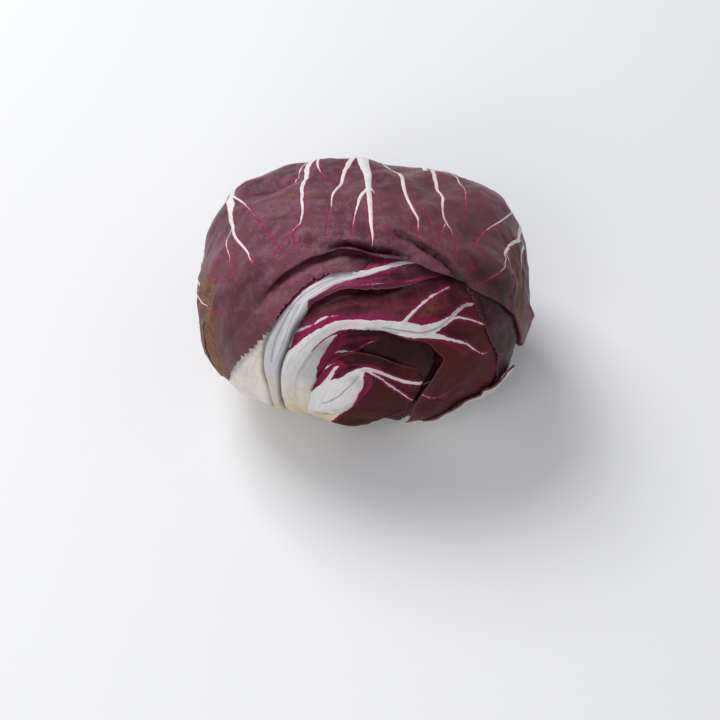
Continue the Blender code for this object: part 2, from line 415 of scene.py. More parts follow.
class Shades:
    """Adds nodes to a shader tree in few words."""

    def __init__(self, tree: Tree) -> None:
        """Work on this tree."""
        self.tree = tree

    def add(self, kind: str, inputs: dict | None = None, **settings: object) -> bpy.types.Node:
        """Add a node.

        Args:
            kind: The node's type.
            inputs: What each input takes: a socket or a value.
            settings: The node's own settings.

        Returns:
            The node.
        """
        node = self.tree.nodes.new(kind)
        for name, value in settings.items():
            setattr(node, name, value)
        for name, value in (inputs or {}).items():
            if isinstance(value, Socket):
                self.link(value, node, name)
            elif value is not None:
                node.inputs[name].default_value = value
        return node

    def link(self, socket: Socket, node: bpy.types.Node, name: str | int) -> None:
        """Feed a socket into a node's input."""
        self.tree.links.new(socket, node.inputs[name])

    def math(self, operation: str, first: Value, second: Value | None = None) -> Socket:
        """Do a sum on numbers."""
        return self.add("ShaderNodeMath", {0: first, 1: second}, operation=operation).outputs[0]

    def vector(self, operation: str, first: Paint, second: Paint) -> Socket:
        """Do a sum on vectors."""
        return self.add("ShaderNodeVectorMath", {0: first, 1: second}, operation=operation).outputs[0]

    def split(self, value: Socket) -> bpy.types.NodeOutputs:
        """Take a vector apart into its three numbers."""
        return self.add("ShaderNodeSeparateXYZ", {0: value}).outputs

    def swing(self, value: Socket, amount: Value) -> Socket:
        """Turn a noise into a number that swings about 0, by up to half the amount."""
        return self.math("MULTIPLY", self.math("SUBTRACT", value, 0.5), amount)

    def span(
        self, value: Socket, low: float, high: Value, at_low: float = 0.0, at_high: float = 1.0
    ) -> Socket:
        """Ease a value that goes from low to high into one that goes from at_low to at_high."""
        inputs = {"Value": value, "From Min": low, "From Max": high, "To Min": at_low, "To Max": at_high}
        return self.add("ShaderNodeMapRange", inputs, interpolation_type="SMOOTHSTEP").outputs[0]

    def noise(self, where: Socket, scale: float, detail: float, rough: float) -> Socket:
        """Read a noise of so many waves to a unit, with finer waves of this detail and roughness."""
        inputs = {"Vector": where, "Scale": scale, "Detail": detail, "Roughness": rough}
        return self.add("ShaderNodeTexNoise", inputs).outputs[0]

    def blend(self, share: Value, first: Paint, second: Paint, mode: str = "MIX") -> Socket:
        """Mix two colours.

        Args:
            share: How much of the second.
            first: A colour or its socket.
            second: A colour or its socket.
            mode: How they mix.

        Returns:
            The mixed colour's socket.
        """
        node = self.add("ShaderNodeMix", data_type="RGBA", blend_type=mode, clamp_factor=True)
        for index, value in ((0, share), (6, first), (7, second)):
            if isinstance(value, Socket):
                self.link(value, node, index)
            elif index:
                node.inputs[index].default_value = (*value[:3], 1)
            else:
                node.inputs[index].default_value = value
        return node.outputs[2]


def new_material(name: str) -> tuple[bpy.types.Material, Shades, bpy.types.Node]:
    """Start a material.

    Args:
        name: The material's name.

    Returns:
        The material, its node adder and its shader.
    """
    material = bpy.data.materials.new(name)
    material.use_nodes = True
    return material, Shades(material.node_tree), material.node_tree.nodes["Principled BSDF"]


def new_group(
    name: str, inputs: dict[str, str], outputs: dict[str, str]
) -> tuple[Tree, Shades, bpy.types.NodeOutputs, bpy.types.Node]:
    """Start a shader node group.

    Args:
        name: The group's name.
        inputs: Its inputs' names and socket types.
        outputs: Its outputs' names and socket types.

    Returns:
        The group, its node adder, its input sockets by name and its output node.
    """
    tree = bpy.data.node_groups.new(name, "ShaderNodeTree")
    for side, sockets in (("INPUT", inputs), ("OUTPUT", outputs)):
        for label, kind in sockets.items():
            tree.interface.new_socket(label, in_out=side, socket_type="NodeSocket" + kind)
    start = tree.nodes.new("NodeGroupInput")
    end = tree.nodes.new("NodeGroupOutput")
    return tree, Shades(tree), start.outputs, end


def vein_distance_group() -> Tree:
    """Build the group that reads how far a point is outside the nearest vein.

    Returns:
        The group.
    """
    tree, shades, given, end = new_group(
        "vein_distance",
        {"Side": "Vector", "Width": "Vector", "Jag": "Float"},
        {"Distance": "Float"},
    )
    sides, widths = shades.split(given["Side"]), shades.split(given["Width"])
    gaps = [
        shades.math("SUBTRACT", shades.math("ABSOLUTE", side), width)
        for side, width in zip(sides, widths, strict=True)
    ]
    nearest = shades.math("MINIMUM", shades.math("MINIMUM", gaps[0], gaps[1]), gaps[2])
    shades.link(shades.math("ADD", nearest, given["Jag"]), end, "Distance")
    return tree


# The skin group's inputs that a leaf's attributes feed, and those that are fields of a finish too
SKIN_VECTORS = ("Side", "Width", "Tint A", "Tint B", "Grain")
ATTRIBUTES = ("vein_side", "vein_width", "tint_a", "tint_b", "leaf_grain")
COLOUR_INPUTS = ("Blade", "Deep", "Lilac", "Brown", "Magenta", "White", "Beige")
NUMBER_INPUTS = ("Jag", "Fringe", "Gloss", "Wrinkle")
SPECK_RED = (0.110, 0.012, 0.030)
BRONZE_SHEEN = (0.230, 0.115, 0.036)
# The colour that painted shade darkens the blade towards
PAINTED_SHADE_BLADE = (0.012, 0.004, 0.006)
RIM_PINK = (0.20, 0.065, 0.08)
FIBRE_GREY = (0.55, 0.53, 0.5)
MOTTLE_GREY = (0.62, 0.62, 0.66)
# The grey that painted shade lays over the flesh
PAINTED_SHADE_FLESH = (0.26, 0.23, 0.23)


def leaf_skin_group(vein_distance: Tree) -> Tree:
    """Build the group that colours a leaf from its veins, its patches and its grain.

    Args:
        vein_distance: The group that reads the veins.

    Returns:
        The group.
    """
    inputs = {**dict.fromkeys((*SKIN_VECTORS, "Place"), "Vector"), **dict.fromkeys(COLOUR_INPUTS, "Color")}
    inputs |= dict.fromkeys(NUMBER_INPUTS, "Float")
    outputs = {"Color": "Color", "Roughness": "Float", "Height": "Float"}
    tree, shades, given, end = new_group("leaf_skin", inputs, outputs)
    blush, bronze, beige = shades.split(given["Tint A"])
    painted_shade_share, brown_and_painted_light, margin = shades.split(given["Tint B"])
    place = shades.vector("MULTIPLY", given["Place"], TO_MILLIMETRES)
    along = shades.vector("MULTIPLY", given["Grain"], (1.0, 0.3, 1.0))
    streaks = shades.noise(along, 0.85, 4, 0.6)
    fibres = shades.noise(shades.vector("MULTIPLY", given["Grain"], (1.0, 0.05, 1.0)), 1.4, 3, 0.6)
    broad = shades.noise(place, 0.055, 2, 0.5)
    mottle = shades.noise(place, 0.22, 4, 0.62)
    blotch = shades.noise(place, 0.11, 4, 0.6)
    fleck = shades.noise(place, 0.55, 4, 0.7)
    fine = shades.noise(place, 1.3, 3, 0.6)
    veins = shades.add("ShaderNodeGroup", {}, node_tree=vein_distance)
    for label, socket in (
        ("Side", given["Side"]),
        ("Width", given["Width"]),
        ("Jag", shades.swing(streaks, given["Jag"])),
    ):
        shades.link(socket, veins, label)
    distance = veins.outputs["Distance"]
    # The blade: purple, deeper in broad areas, waxy lilac in mottles, brown under the warm patches, which are
    # partly painted light
    colour = shades.blend(shades.span(broad, 0.35, 0.68), given["Blade"], given["Deep"])
    colour = shades.blend(shades.span(mottle, 0.42, 0.75, 0, 0.6), colour, given["Lilac"])
    colour = shades.blend(shades.span(blotch, 0.52, 0.74, 0.0, 0.34), colour, given["Magenta"])
    speck = shades.span(blotch, 0.40, 0.62, 0.08, 0.5)
    speck = shades.math("MULTIPLY", shades.span(fleck, 0.54, 0.70), speck)
    colour = shades.blend(speck, colour, SPECK_RED)
    # Warm patches: the leaf's own brown, mixed with painted sheen, painted shade and painted warm reflection
    brown_light_share = shades.math("MULTIPLY", brown_and_painted_light, shades.span(mottle, 0.2, 0.7, 0.75, 1.0))
    colour = shades.blend(brown_light_share, colour, given["Brown"])
    bronzed = shades.math("MULTIPLY", bronze, shades.span(streaks, 0.36, 0.60))
    colour = shades.blend(shades.math("MULTIPLY", bronze, 0.75), colour, given["Brown"])
    colour = shades.blend(bronzed, colour, BRONZE_SHEEN)
    # Painted shade: the shade patches darken the blade in gaps, creases and hollows
    painted_shade_amount = shades.math("MULTIPLY", painted_shade_share, shades.span(mottle, 0.2, 0.8, 1.0, 0.7))
    colour = shades.blend(painted_shade_amount, colour, PAINTED_SHADE_BLADE)
    colour = shades.blend(shades.span(fine, 0.35, 0.75, 0.0, 0.16), colour, given["Deep"])
    # Magenta beside the veins and in the blushes
    fringe = shades.math("POWER", shades.span(distance, 0.0, given["Fringe"], 1.0, 0.0), 1.3)
    fringe = shades.math("MULTIPLY", fringe, shades.span(mottle, 0.3, 0.6, 0.7, 1.0))
    colour = shades.blend(fringe, colour, given["Magenta"])
    ragged = shades.math("ADD", blush, shades.swing(streaks, 1.5))
    ragged = shades.math("ADD", ragged, shades.swing(fine, 0.5))
    flush = shades.math("MULTIPLY", shades.span(ragged, 0.1, 1.0), shades.span(blush, 0.02, 0.5, 0.0, 0.85))
    colour = shades.blend(flush, colour, given["Magenta"])
    rim = shades.span(margin, 0.1, 0.55, 0.55, 0.0)
    colour = shades.blend(rim, colour, RIM_PINK)
    # The flesh of veins and petioles
    creamy = shades.math("ADD", beige, shades.swing(mottle, 0.5))
    flesh = shades.blend(shades.span(creamy, 0.1, 0.9), given["White"], given["Beige"])
    flesh = shades.blend(shades.span(fibres, 0.55, 0.3, 0.0, 0.26), flesh, FIBRE_GREY, "MULTIPLY")
    flesh = shades.blend(shades.span(mottle, 0.45, 0.75, 0.0, 0.3), flesh, MOTTLE_GREY, "MULTIPLY")
    # Painted shade greys the flesh under the shade patches
    flesh = shades.blend(painted_shade_share, flesh, PAINTED_SHADE_FLESH, "MULTIPLY")
    white = shades.span(distance, 0.12, -0.12)
    colour = shades.blend(white, colour, flesh)
    shades.link(colour, end, "Color")
    rough = shades.span(mottle, 0.25, 0.75, -0.05, 0.09)
    rough = shades.math("ADD", rough, shades.math("MULTIPLY", bronze, 0.3))
    shades.link(shades.math("ADD", given["Gloss"], rough), end, "Roughness")
    # The relief: a crinkled blade, threads and a low swell on the veins
    soft = shades.noise(place, 0.45, 3, 0.55)
    crinkle = shades.math("ADD", fine, shades.math("MULTIPLY", soft, 1.6))
    crinkle = shades.math("MULTIPLY", crinkle, given["Wrinkle"])
    crinkle = shades.math("MULTIPLY", crinkle, shades.span(distance, -0.2, 0.6))
    threads = shades.math("MULTIPLY", fibres, shades.span(distance, 0.3, -0.5, 0.03, 0.09))
    swell = shades.span(distance, 0.35, -0.3, 0.0, 0.09)
    height = shades.math("ADD", shades.math("ADD", crinkle, threads), swell)
    shades.link(height, end, "Height")
    return tree


@dataclass(frozen=True)
class LeafFinish:
    """The colours and the feel of a leaf's skin."""

    name: str
    slot: str
    blade: Colour = (0.158, 0.046, 0.072)
    deep: Colour = (0.088, 0.022, 0.036)
    lilac: Colour = (0.250, 0.120, 0.170)
    brown: Colour = (0.078, 0.024, 0.018)
    magenta: Colour = (0.250, 0.012, 0.075)
    white: Colour = (0.740, 0.722, 0.708)
    beige: Colour = (0.660, 0.555, 0.385)
    jag: float = 0.7
    fringe: float = 0.7
    gloss: float = 0.40
    wrinkle: float = 0.16
    sheen: float = 0.14

    def material(self, skin: Tree) -> bpy.types.Material:
        """Make the material.

        Args:
            skin: The group that colours leaves.

        Returns:
            The material.
        """
        material, shades, shader = new_material(self.name)
        body = shades.add("ShaderNodeGroup", {}, node_tree=skin)
        for label, attribute in zip(SKIN_VECTORS, ATTRIBUTES, strict=True):
            read = shades.add("ShaderNodeAttribute", attribute_name=attribute)
            shades.link(read.outputs["Vector"], body, label)
        shades.link(shades.add("ShaderNodeTexCoord").outputs["Object"], body, "Place")
        for label in COLOUR_INPUTS:
            body.inputs[label].default_value = (*getattr(self, label.lower()), 1)
        for label in NUMBER_INPUTS:
            body.inputs[label].default_value = getattr(self, label.lower())
        bump = shades.add("ShaderNodeBump", {"Distance": MM, "Height": body.outputs["Height"]})
        shades.link(body.outputs["Color"], shader, "Base Color")
        shades.link(body.outputs["Roughness"], shader, "Roughness")
        shades.link(bump.outputs["Normal"], shader, "Normal")
        shader.inputs["Specular IOR Level"].default_value = self.sheen
        return material


# ---- leaves


def select_only(piece: Piece) -> None:
    """Deselect everything, then select one piece and make it active."""
    bpy.ops.object.select_all(action="DESELECT")
    piece.select_set(True)
    bpy.context.view_layer.objects.active = piece


def read_points(mesh: bpy.types.Mesh) -> Array:
    """Read where a mesh's vertices are, as rows."""
    points = np.empty(len(mesh.vertices) * 3, np.float32)
    mesh.vertices.foreach_get("co", points)
    return points.reshape(-1, 3)


def write_points(mesh: bpy.types.Mesh, points: Array) -> None:
    """Move a mesh's vertices to these places, in millimetres."""
    mesh.vertices.foreach_set("co", (points * MM).astype(np.float32).ravel())


def write_vectors(mesh: bpy.types.Mesh, name: str, values: Array) -> None:
    """Store a vector at each vertex under this name."""
    layer = mesh.attributes.new(name, "FLOAT_VECTOR", "POINT")
    layer.data.foreach_set("vector", np.ascontiguousarray(values, np.float32).ravel())


@dataclass
class Leaf:
    """A leaf laid on the head: rows of places from its foot to its far margin, and what it carries.

    The stations say how far along the leaf each row lies, the foot's first, and along how many
    rows of cells lie between two of them. The foot's bearings stand where the leaf meets the stem.
    """

    head: HeadShape
    name: str
    nodes: tuple[str, ...]
    rows: Rows
    stations: Numbers
    across: int
    along: tuple[int, ...]
    finish: LeafFinish
    foot: Numbers = ()
    foot_depth: float = 0.0
    thickness: float = 0.45
    rib_extra: float = 0.5
    scale: float = 1.0
    waves: tuple[Wave, ...] = ((22.0, 0.35), (8.0, 0.12))
    seed: int = 1
    grain_across: bool = False
    reach: Reach = EVERYWHERE
    veins: tuple[Vein, ...] = ()
    folds: tuple[Fold, ...] = ()
    patches: tuple[Patch, ...] = ()
    teeth: tuple[Teeth, ...] = ()

    def row_lines(self) -> Array:
        """Space each row's places evenly, the foot's before the others.

        Returns:
            Knots by columns by four: a unit vector and a depth.
        """
        depth = self.foot_depth
        foot = tuple((b, self.head.foot_rise(b, depth, self.scale), depth) for b in self.foot)
        lines = []
        for row in (foot, *self.rows) if foot else self.rows:
            knots = np.array(row, float)
            places = np.concatenate([heading(knots[:, 0], knots[:, 1]), knots[:, 2:] / USUAL_RADIUS], -1)
            lines.append(even_line(places, self.across + 1))
        lines = np.array(lines)
        lines[..., 3] *= USUAL_RADIUS
        return lines

    def reading_places(self) -> Array:
        """Find where along the leaf each row of cells lies.

        Returns:
            Stations by columns.
        """
        stops = [
            np.linspace(low, high, count, endpoint=False)
            for low, high, count in zip(self.stations[:-1], self.stations[1:], self.along, strict=True)
        ]
        places = np.concatenate([*stops, [self.stations[-1]]])
        return np.repeat(places[:, None], self.across + 1, axis=1)

    def bite(self, lines: Array, places: Array) -> Array:
        """Cut the far margin and the sides into teeth.

        Args:
            lines: The row lines.
            places: Where each row of cells is read.

        Returns:
            The grid: rows by columns by four.
        """
        bite_reach = min(5.0, self.stations[-1] - self.stations[-2])
        bitten_columns = 5
        for teeth in self.teeth:
            if teeth.edge is Edge.TIP:
                cut = bites(teeth, run_along(self.head.place(unit(lines[-1, :, :3]), 0)))
                places = places - cut * np.clip((places - self.stations[-1] + bite_reach) / bite_reach, 0, 1)
        grid = spline(lines, np.array(self.stations), places)
        for teeth in self.teeth:
            if teeth.edge is Edge.SIDE:
                pull = grid[:, -1, :3] - grid[:, -4, :3]
                pull /= np.maximum(np.linalg.norm(pull, axis=-1, keepdims=True), 1e-9)
                cut = bites(teeth, run_along(grid[:, -1, :3]) * SIDE_RADIUS) / SIDE_RADIUS
                for column in range(bitten_columns):
                    grid[:, -1 - column, :3] -= pull * cut[:, None] * (1 - column / bitten_columns)
        return grid

    def covers(self, mark: Vein | Fold | Patch, places: Array) -> Array:
        """Say which stations lie in a mark's reach."""
        low, high = mark.reach or self.reach
        return (places >= low) & (places <= high)

    def relief(self, outer: Array, places: Array) -> Array:
        """Find how far the skin stands out from the plain sheet.

        Args:
            outer: The sheet's points on the outline, in millimetres.
            places: Each point's station.

        Returns:
            Millimetres out at each point.
        """
        rise = np.zeros(len(outer))
        for wavelength, amount in self.waves:
            rise += amount * ripple(outer, wavelength, self.seed)
        for fold in self.folds:
            beside = measure(self.head, fold.line, outer)
            share = beside.distance / fold.width
            ends = np.sqrt(np.clip(4 * beside.share * (1 - beside.share), 0, 1)) if len(fold.line) > 1 else 1
            bell = np.exp(-(share**2)) * ends * self.covers(fold, places)
            rise += fold.height * bell + fold.lean * np.clip(beside.side / fold.width, -1.5, 1.5) * bell
        for vein in self.veins:
            beside = measure(self.head, vein.line, outer)
            width = beside.width(vein.widths)
            # A round back as wide as the vein, between two shallow dips
            spread = np.maximum(width, 0.15) * 0.9 + 0.35
            strength = vein.height * np.clip(width / 0.8, 0.0, 1.6) * self.covers(vein, places)
            rise += strength * np.exp(-((beside.distance / spread) ** 2))
            rise -= 0.3 * strength * np.exp(-((beside.distance / (spread * 3)) ** 2))
        return rise

    def vein_fields(self, outer: Array, places: Array) -> tuple[Array, Array]:
        """Find how each point lies beside the nearest vein of each channel.

        Args:
            outer: The sheet's points on the outline, in millimetres.
            places: Each point's station.

        Returns:
            The side and the half-width, each with one part to a channel.
        """
        side = np.full((len(outer), VEIN_CHANNELS), FAR)
        width = -side
        for vein in self.veins:
            beside = measure(self.head, vein.line, outer)
            half = beside.width(vein.widths)
            beyond = beside.distance - np.abs(beside.side)
            outside = np.maximum(0, beside.distance - np.maximum(half, 0) - 2.0)
            half = half - beyond - 3 * outside
            half = np.where(self.covers(vein, places), half, -FAR)
            gap = np.abs(beside.side) - half
            channel = vein.channel
            nearer = gap < np.abs(side[:, channel]) - width[:, channel]
            side[nearer, channel] = beside.side[nearer]
            width[nearer, channel] = half[nearer]
        return side, np.maximum(width, -FAR)

    def tints(self, outer: Array, places: Array, margin: Array) -> Array:
        """Find how much of each shade lies on each point.

        Args:
            outer: The sheet's points on the outline, in millimetres.
            places: Each point's station.
            margin: Each point's distance from the leaf's edges.

        Returns:
            Six parts to a point: the five tints and the distance from the margin.
        """
        layers = np.zeros((len(outer), len(Tint) + 1))
        for patch in self.patches:
            beside = measure(self.head, patch.line, outer)
            amount = patch.amount * np.exp(-((beside.distance / patch.radius) ** 2))
            amount = amount * self.covers(patch, places)
            index = patch.tint.value
            layers[:, index] = 1 - (1 - layers[:, index]) * (1 - np.clip(amount, 0, 1))
        layers[:, -1] = margin
        return layers

    def build(self) -> Piece:
        """Model the leaf: a grid laid on the head, then thickened inwards.

        Returns:
            The leaf's object.
        """
        places = self.reading_places()
        grid = self.bite(self.row_lines(), places)
        shape = grid.shape[:2]
        directions = unit(grid[..., :3]).reshape(-1, 3)
        stations = places.ravel()
        outer = directions * (self.head.outline(directions) * self.scale)[:, None] + self.head.middle
        surface = outer + directions * (self.relief(outer, stations) - grid[..., 3].ravel())[:, None]
        piece, row, column = self.new_grid(*shape)
        order = row * shape[1] + column
        write_points(piece.data, surface[order])
        self.face_outwards(piece)
        self.thicken(piece, column / (shape[1] - 1), row / (shape[0] - 1))
        for label, values in self.layers(surface.reshape(*shape, 3), outer, stations).items():
            write_vectors(piece.data, label, np.concatenate([values[order], values[order]]))
        return piece

    def new_grid(self, rows: int, columns: int) -> tuple[Piece, Array, Array]:
        """Add a flat grid.

        Args:
            rows: How many rows of vertices it has.
            columns: How many columns.

        Returns:
            The grid's object, and each vertex's row and column.
        """
        bpy.ops.object.select_all(action="DESELECT")
        bpy.ops.mesh.primitive_grid_add(x_subdivisions=columns - 1, y_subdivisions=rows - 1, size=2)
        piece = bpy.context.object
        piece.name = piece.data.name = self.name
        flat = read_points(piece.data)
        column = np.round((flat[:, 0] + 1) / 2 * (columns - 1)).astype(int)
        row = np.round((flat[:, 1] + 1) / 2 * (rows - 1)).astype(int)
        return piece, row, column

    def layers(self, surface: Array, outer: Array, stations: Array) -> dict[str, Array]:
        """Work out all that the skin reads at each point.

        Args:
            surface: The finished points: rows by columns by three.
            outer: The sheet's points on the outline, in millimetres.
            stations: Each point's station.

        Returns:
            The values by the names of their attributes.
        """
        over, down = run_along(surface.swapaxes(0, 1)).T, run_along(surface)
        edge = np.minimum(np.minimum(over, over[:, -1:] - over), down[-1:] - down)
        side, width = self.vein_fields(outer, stations)
        tints = self.tints(outer, stations, np.minimum(edge.ravel(), FAR))
        fibre, aside = (over, down) if self.grain_across else (down, over)
        grain = (aside.ravel() - aside.mean(), fibre.ravel(), np.full(over.size, float(self.seed)))
        vectors = (side, width, tints[:, :3], tints[:, 3:], np.stack(grain, -1))
        return dict(zip(ATTRIBUTES, vectors, strict=True))

    def face_outwards(self, piece: Piece) -> None:
        """Turn the grid's faces away from the head's middle."""
        mesh = piece.data
        middle = Vector(self.head.middle * MM)
        facing = sum(face.normal.dot(face.center - middle) for face in mesh.polygons)
        if facing < 0:
            mesh.flip_normals()

    def thicken(self, piece: Piece, across: Array, along: Array) -> None:
        """Give the sheet its thickness, most along its rib.

        Args:
            piece: The leaf's object.
            across: Each vertex's share across the leaf.
            along: Each vertex's share from foot to tip.
        """
        group = piece.vertex_groups.new(name="rib")
        rib_share, levels = 0.28, 10
        share = np.clip(1 - np.abs(across - 0.5) / rib_share, 0, 1) * (1 - along)
        for level in range(1, levels + 1):
            chosen = np.flatnonzero(np.round(share * levels) == level)
            group.add(chosen.tolist(), level / levels, "REPLACE")
        select_only(piece)
        shell = piece.modifiers.new("thickness", "SOLIDIFY")
        total = self.thickness + self.rib_extra
        shell.thickness = total * MM
        shell.offset = -1
        shell.vertex_group = "rib"
        shell.thickness_vertex_group = self.thickness / total
        bpy.ops.object.modifier_apply(modifier=shell.name)
        piece.vertex_groups.clear()
        bpy.ops.object.shade_smooth_by_angle(angle=math.radians(65))

    def dress(self, piece: Piece, skin: Tree) -> None:
        """Give the leaf its finish and its place on the frame.

        Args:
            piece: The leaf's object.
            skin: The group that colours leaves.
        """
        material = bpy.data.materials.get(self.finish.name) or self.finish.material(skin)
        piece.data.materials.clear()
        piece.data.materials.append(material)
        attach(piece, BODY)
        if self.nodes:
            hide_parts(*self.nodes)
        LOG.info("%s: %d faces", piece.name, len(piece.data.polygons))


# The wrapper's brown is lighter than the other leaves': under the warm patch on its right it paints a sheen
WRAPPER_FINISH = LeafFinish(
    "wrapper_skin", BLADE_SLOT, blade=(0.146, 0.042, 0.064), brown=(0.122, 0.050, 0.041),
    jag=0.55, fringe=1.05, wrinkle=0.22, sheen=0.22, gloss=0.38,
)
SIDE_FINISH = LeafFinish(
    "side_leaf_skin", BLADE_SLOT, blade=(0.048, 0.018, 0.025), deep=(0.030, 0.009, 0.012),
    lilac=(0.082, 0.036, 0.050), brown=(0.050, 0.017, 0.011), sheen=0.12,
)
RIB_FINISH = LeafFinish(
    "long_rib_skin", PETIOLE_SLOT, blade=(0.110, 0.024, 0.044), deep=(0.060, 0.011, 0.020),
    lilac=(0.19, 0.08, 0.12), white=(0.57, 0.57, 0.60), jag=1.5, fringe=1.2,
)
HOOD_FINISH = LeafFinish(
    "hood_skin", BLADE_SLOT, blade=(0.145, 0.032, 0.050), deep=(0.072, 0.013, 0.022),
    lilac=(0.20, 0.075, 0.105), brown=(0.064, 0.014, 0.008), white=(0.66, 0.65, 0.645),
    jag=1.5, fringe=1.4, sheen=0.05,
)
# The hollow's blade is the hood's purple much darkened: painted shade of the hollow under the hood, on the
# leaf's own dark purple-brown
HOLLOW_SHADED_FINISH = LeafFinish(
    "hollow_shaded_skin", BLADE_SLOT, blade=(0.044, 0.010, 0.014), deep=(0.026, 0.006, 0.008),
    lilac=(0.075, 0.025, 0.038), brown=(0.032, 0.010, 0.006), magenta=(0.150, 0.012, 0.042),
    white=(0.66, 0.65, 0.645), jag=1.8, fringe=1.2, sheen=0.06,
)
FRONT_FINISH = LeafFinish(
    "front_skin", PETIOLE_SLOT, blade=(0.058, 0.010, 0.012), deep=(0.030, 0.005, 0.006),
    lilac=(0.080, 0.022, 0.030), brown=(0.056, 0.012, 0.006), jag=1.6, fringe=1.5, sheen=0.05,
)
PETIOLE_FINISH = LeafFinish("petiole_skin", PETIOLE_SLOT, white=(0.74, 0.70, 0.64), jag=1.2)
# The inner leaves' own purple, made darker as painted shade for the gaps where they show
NEST_SHADED_FINISH = LeafFinish(
    "nest_shaded_skin", NEST_SLOT, blade=(0.12, 0.022, 0.040), deep=(0.07, 0.012, 0.022),
    lilac=(0.18, 0.06, 0.10), gloss=0.5,
)

# The wrapper's stations on its two sides of the lip: the band below it, and all the rest
BAND = (193.0, 1e9)
UPPER = (-1e9, 193.0)


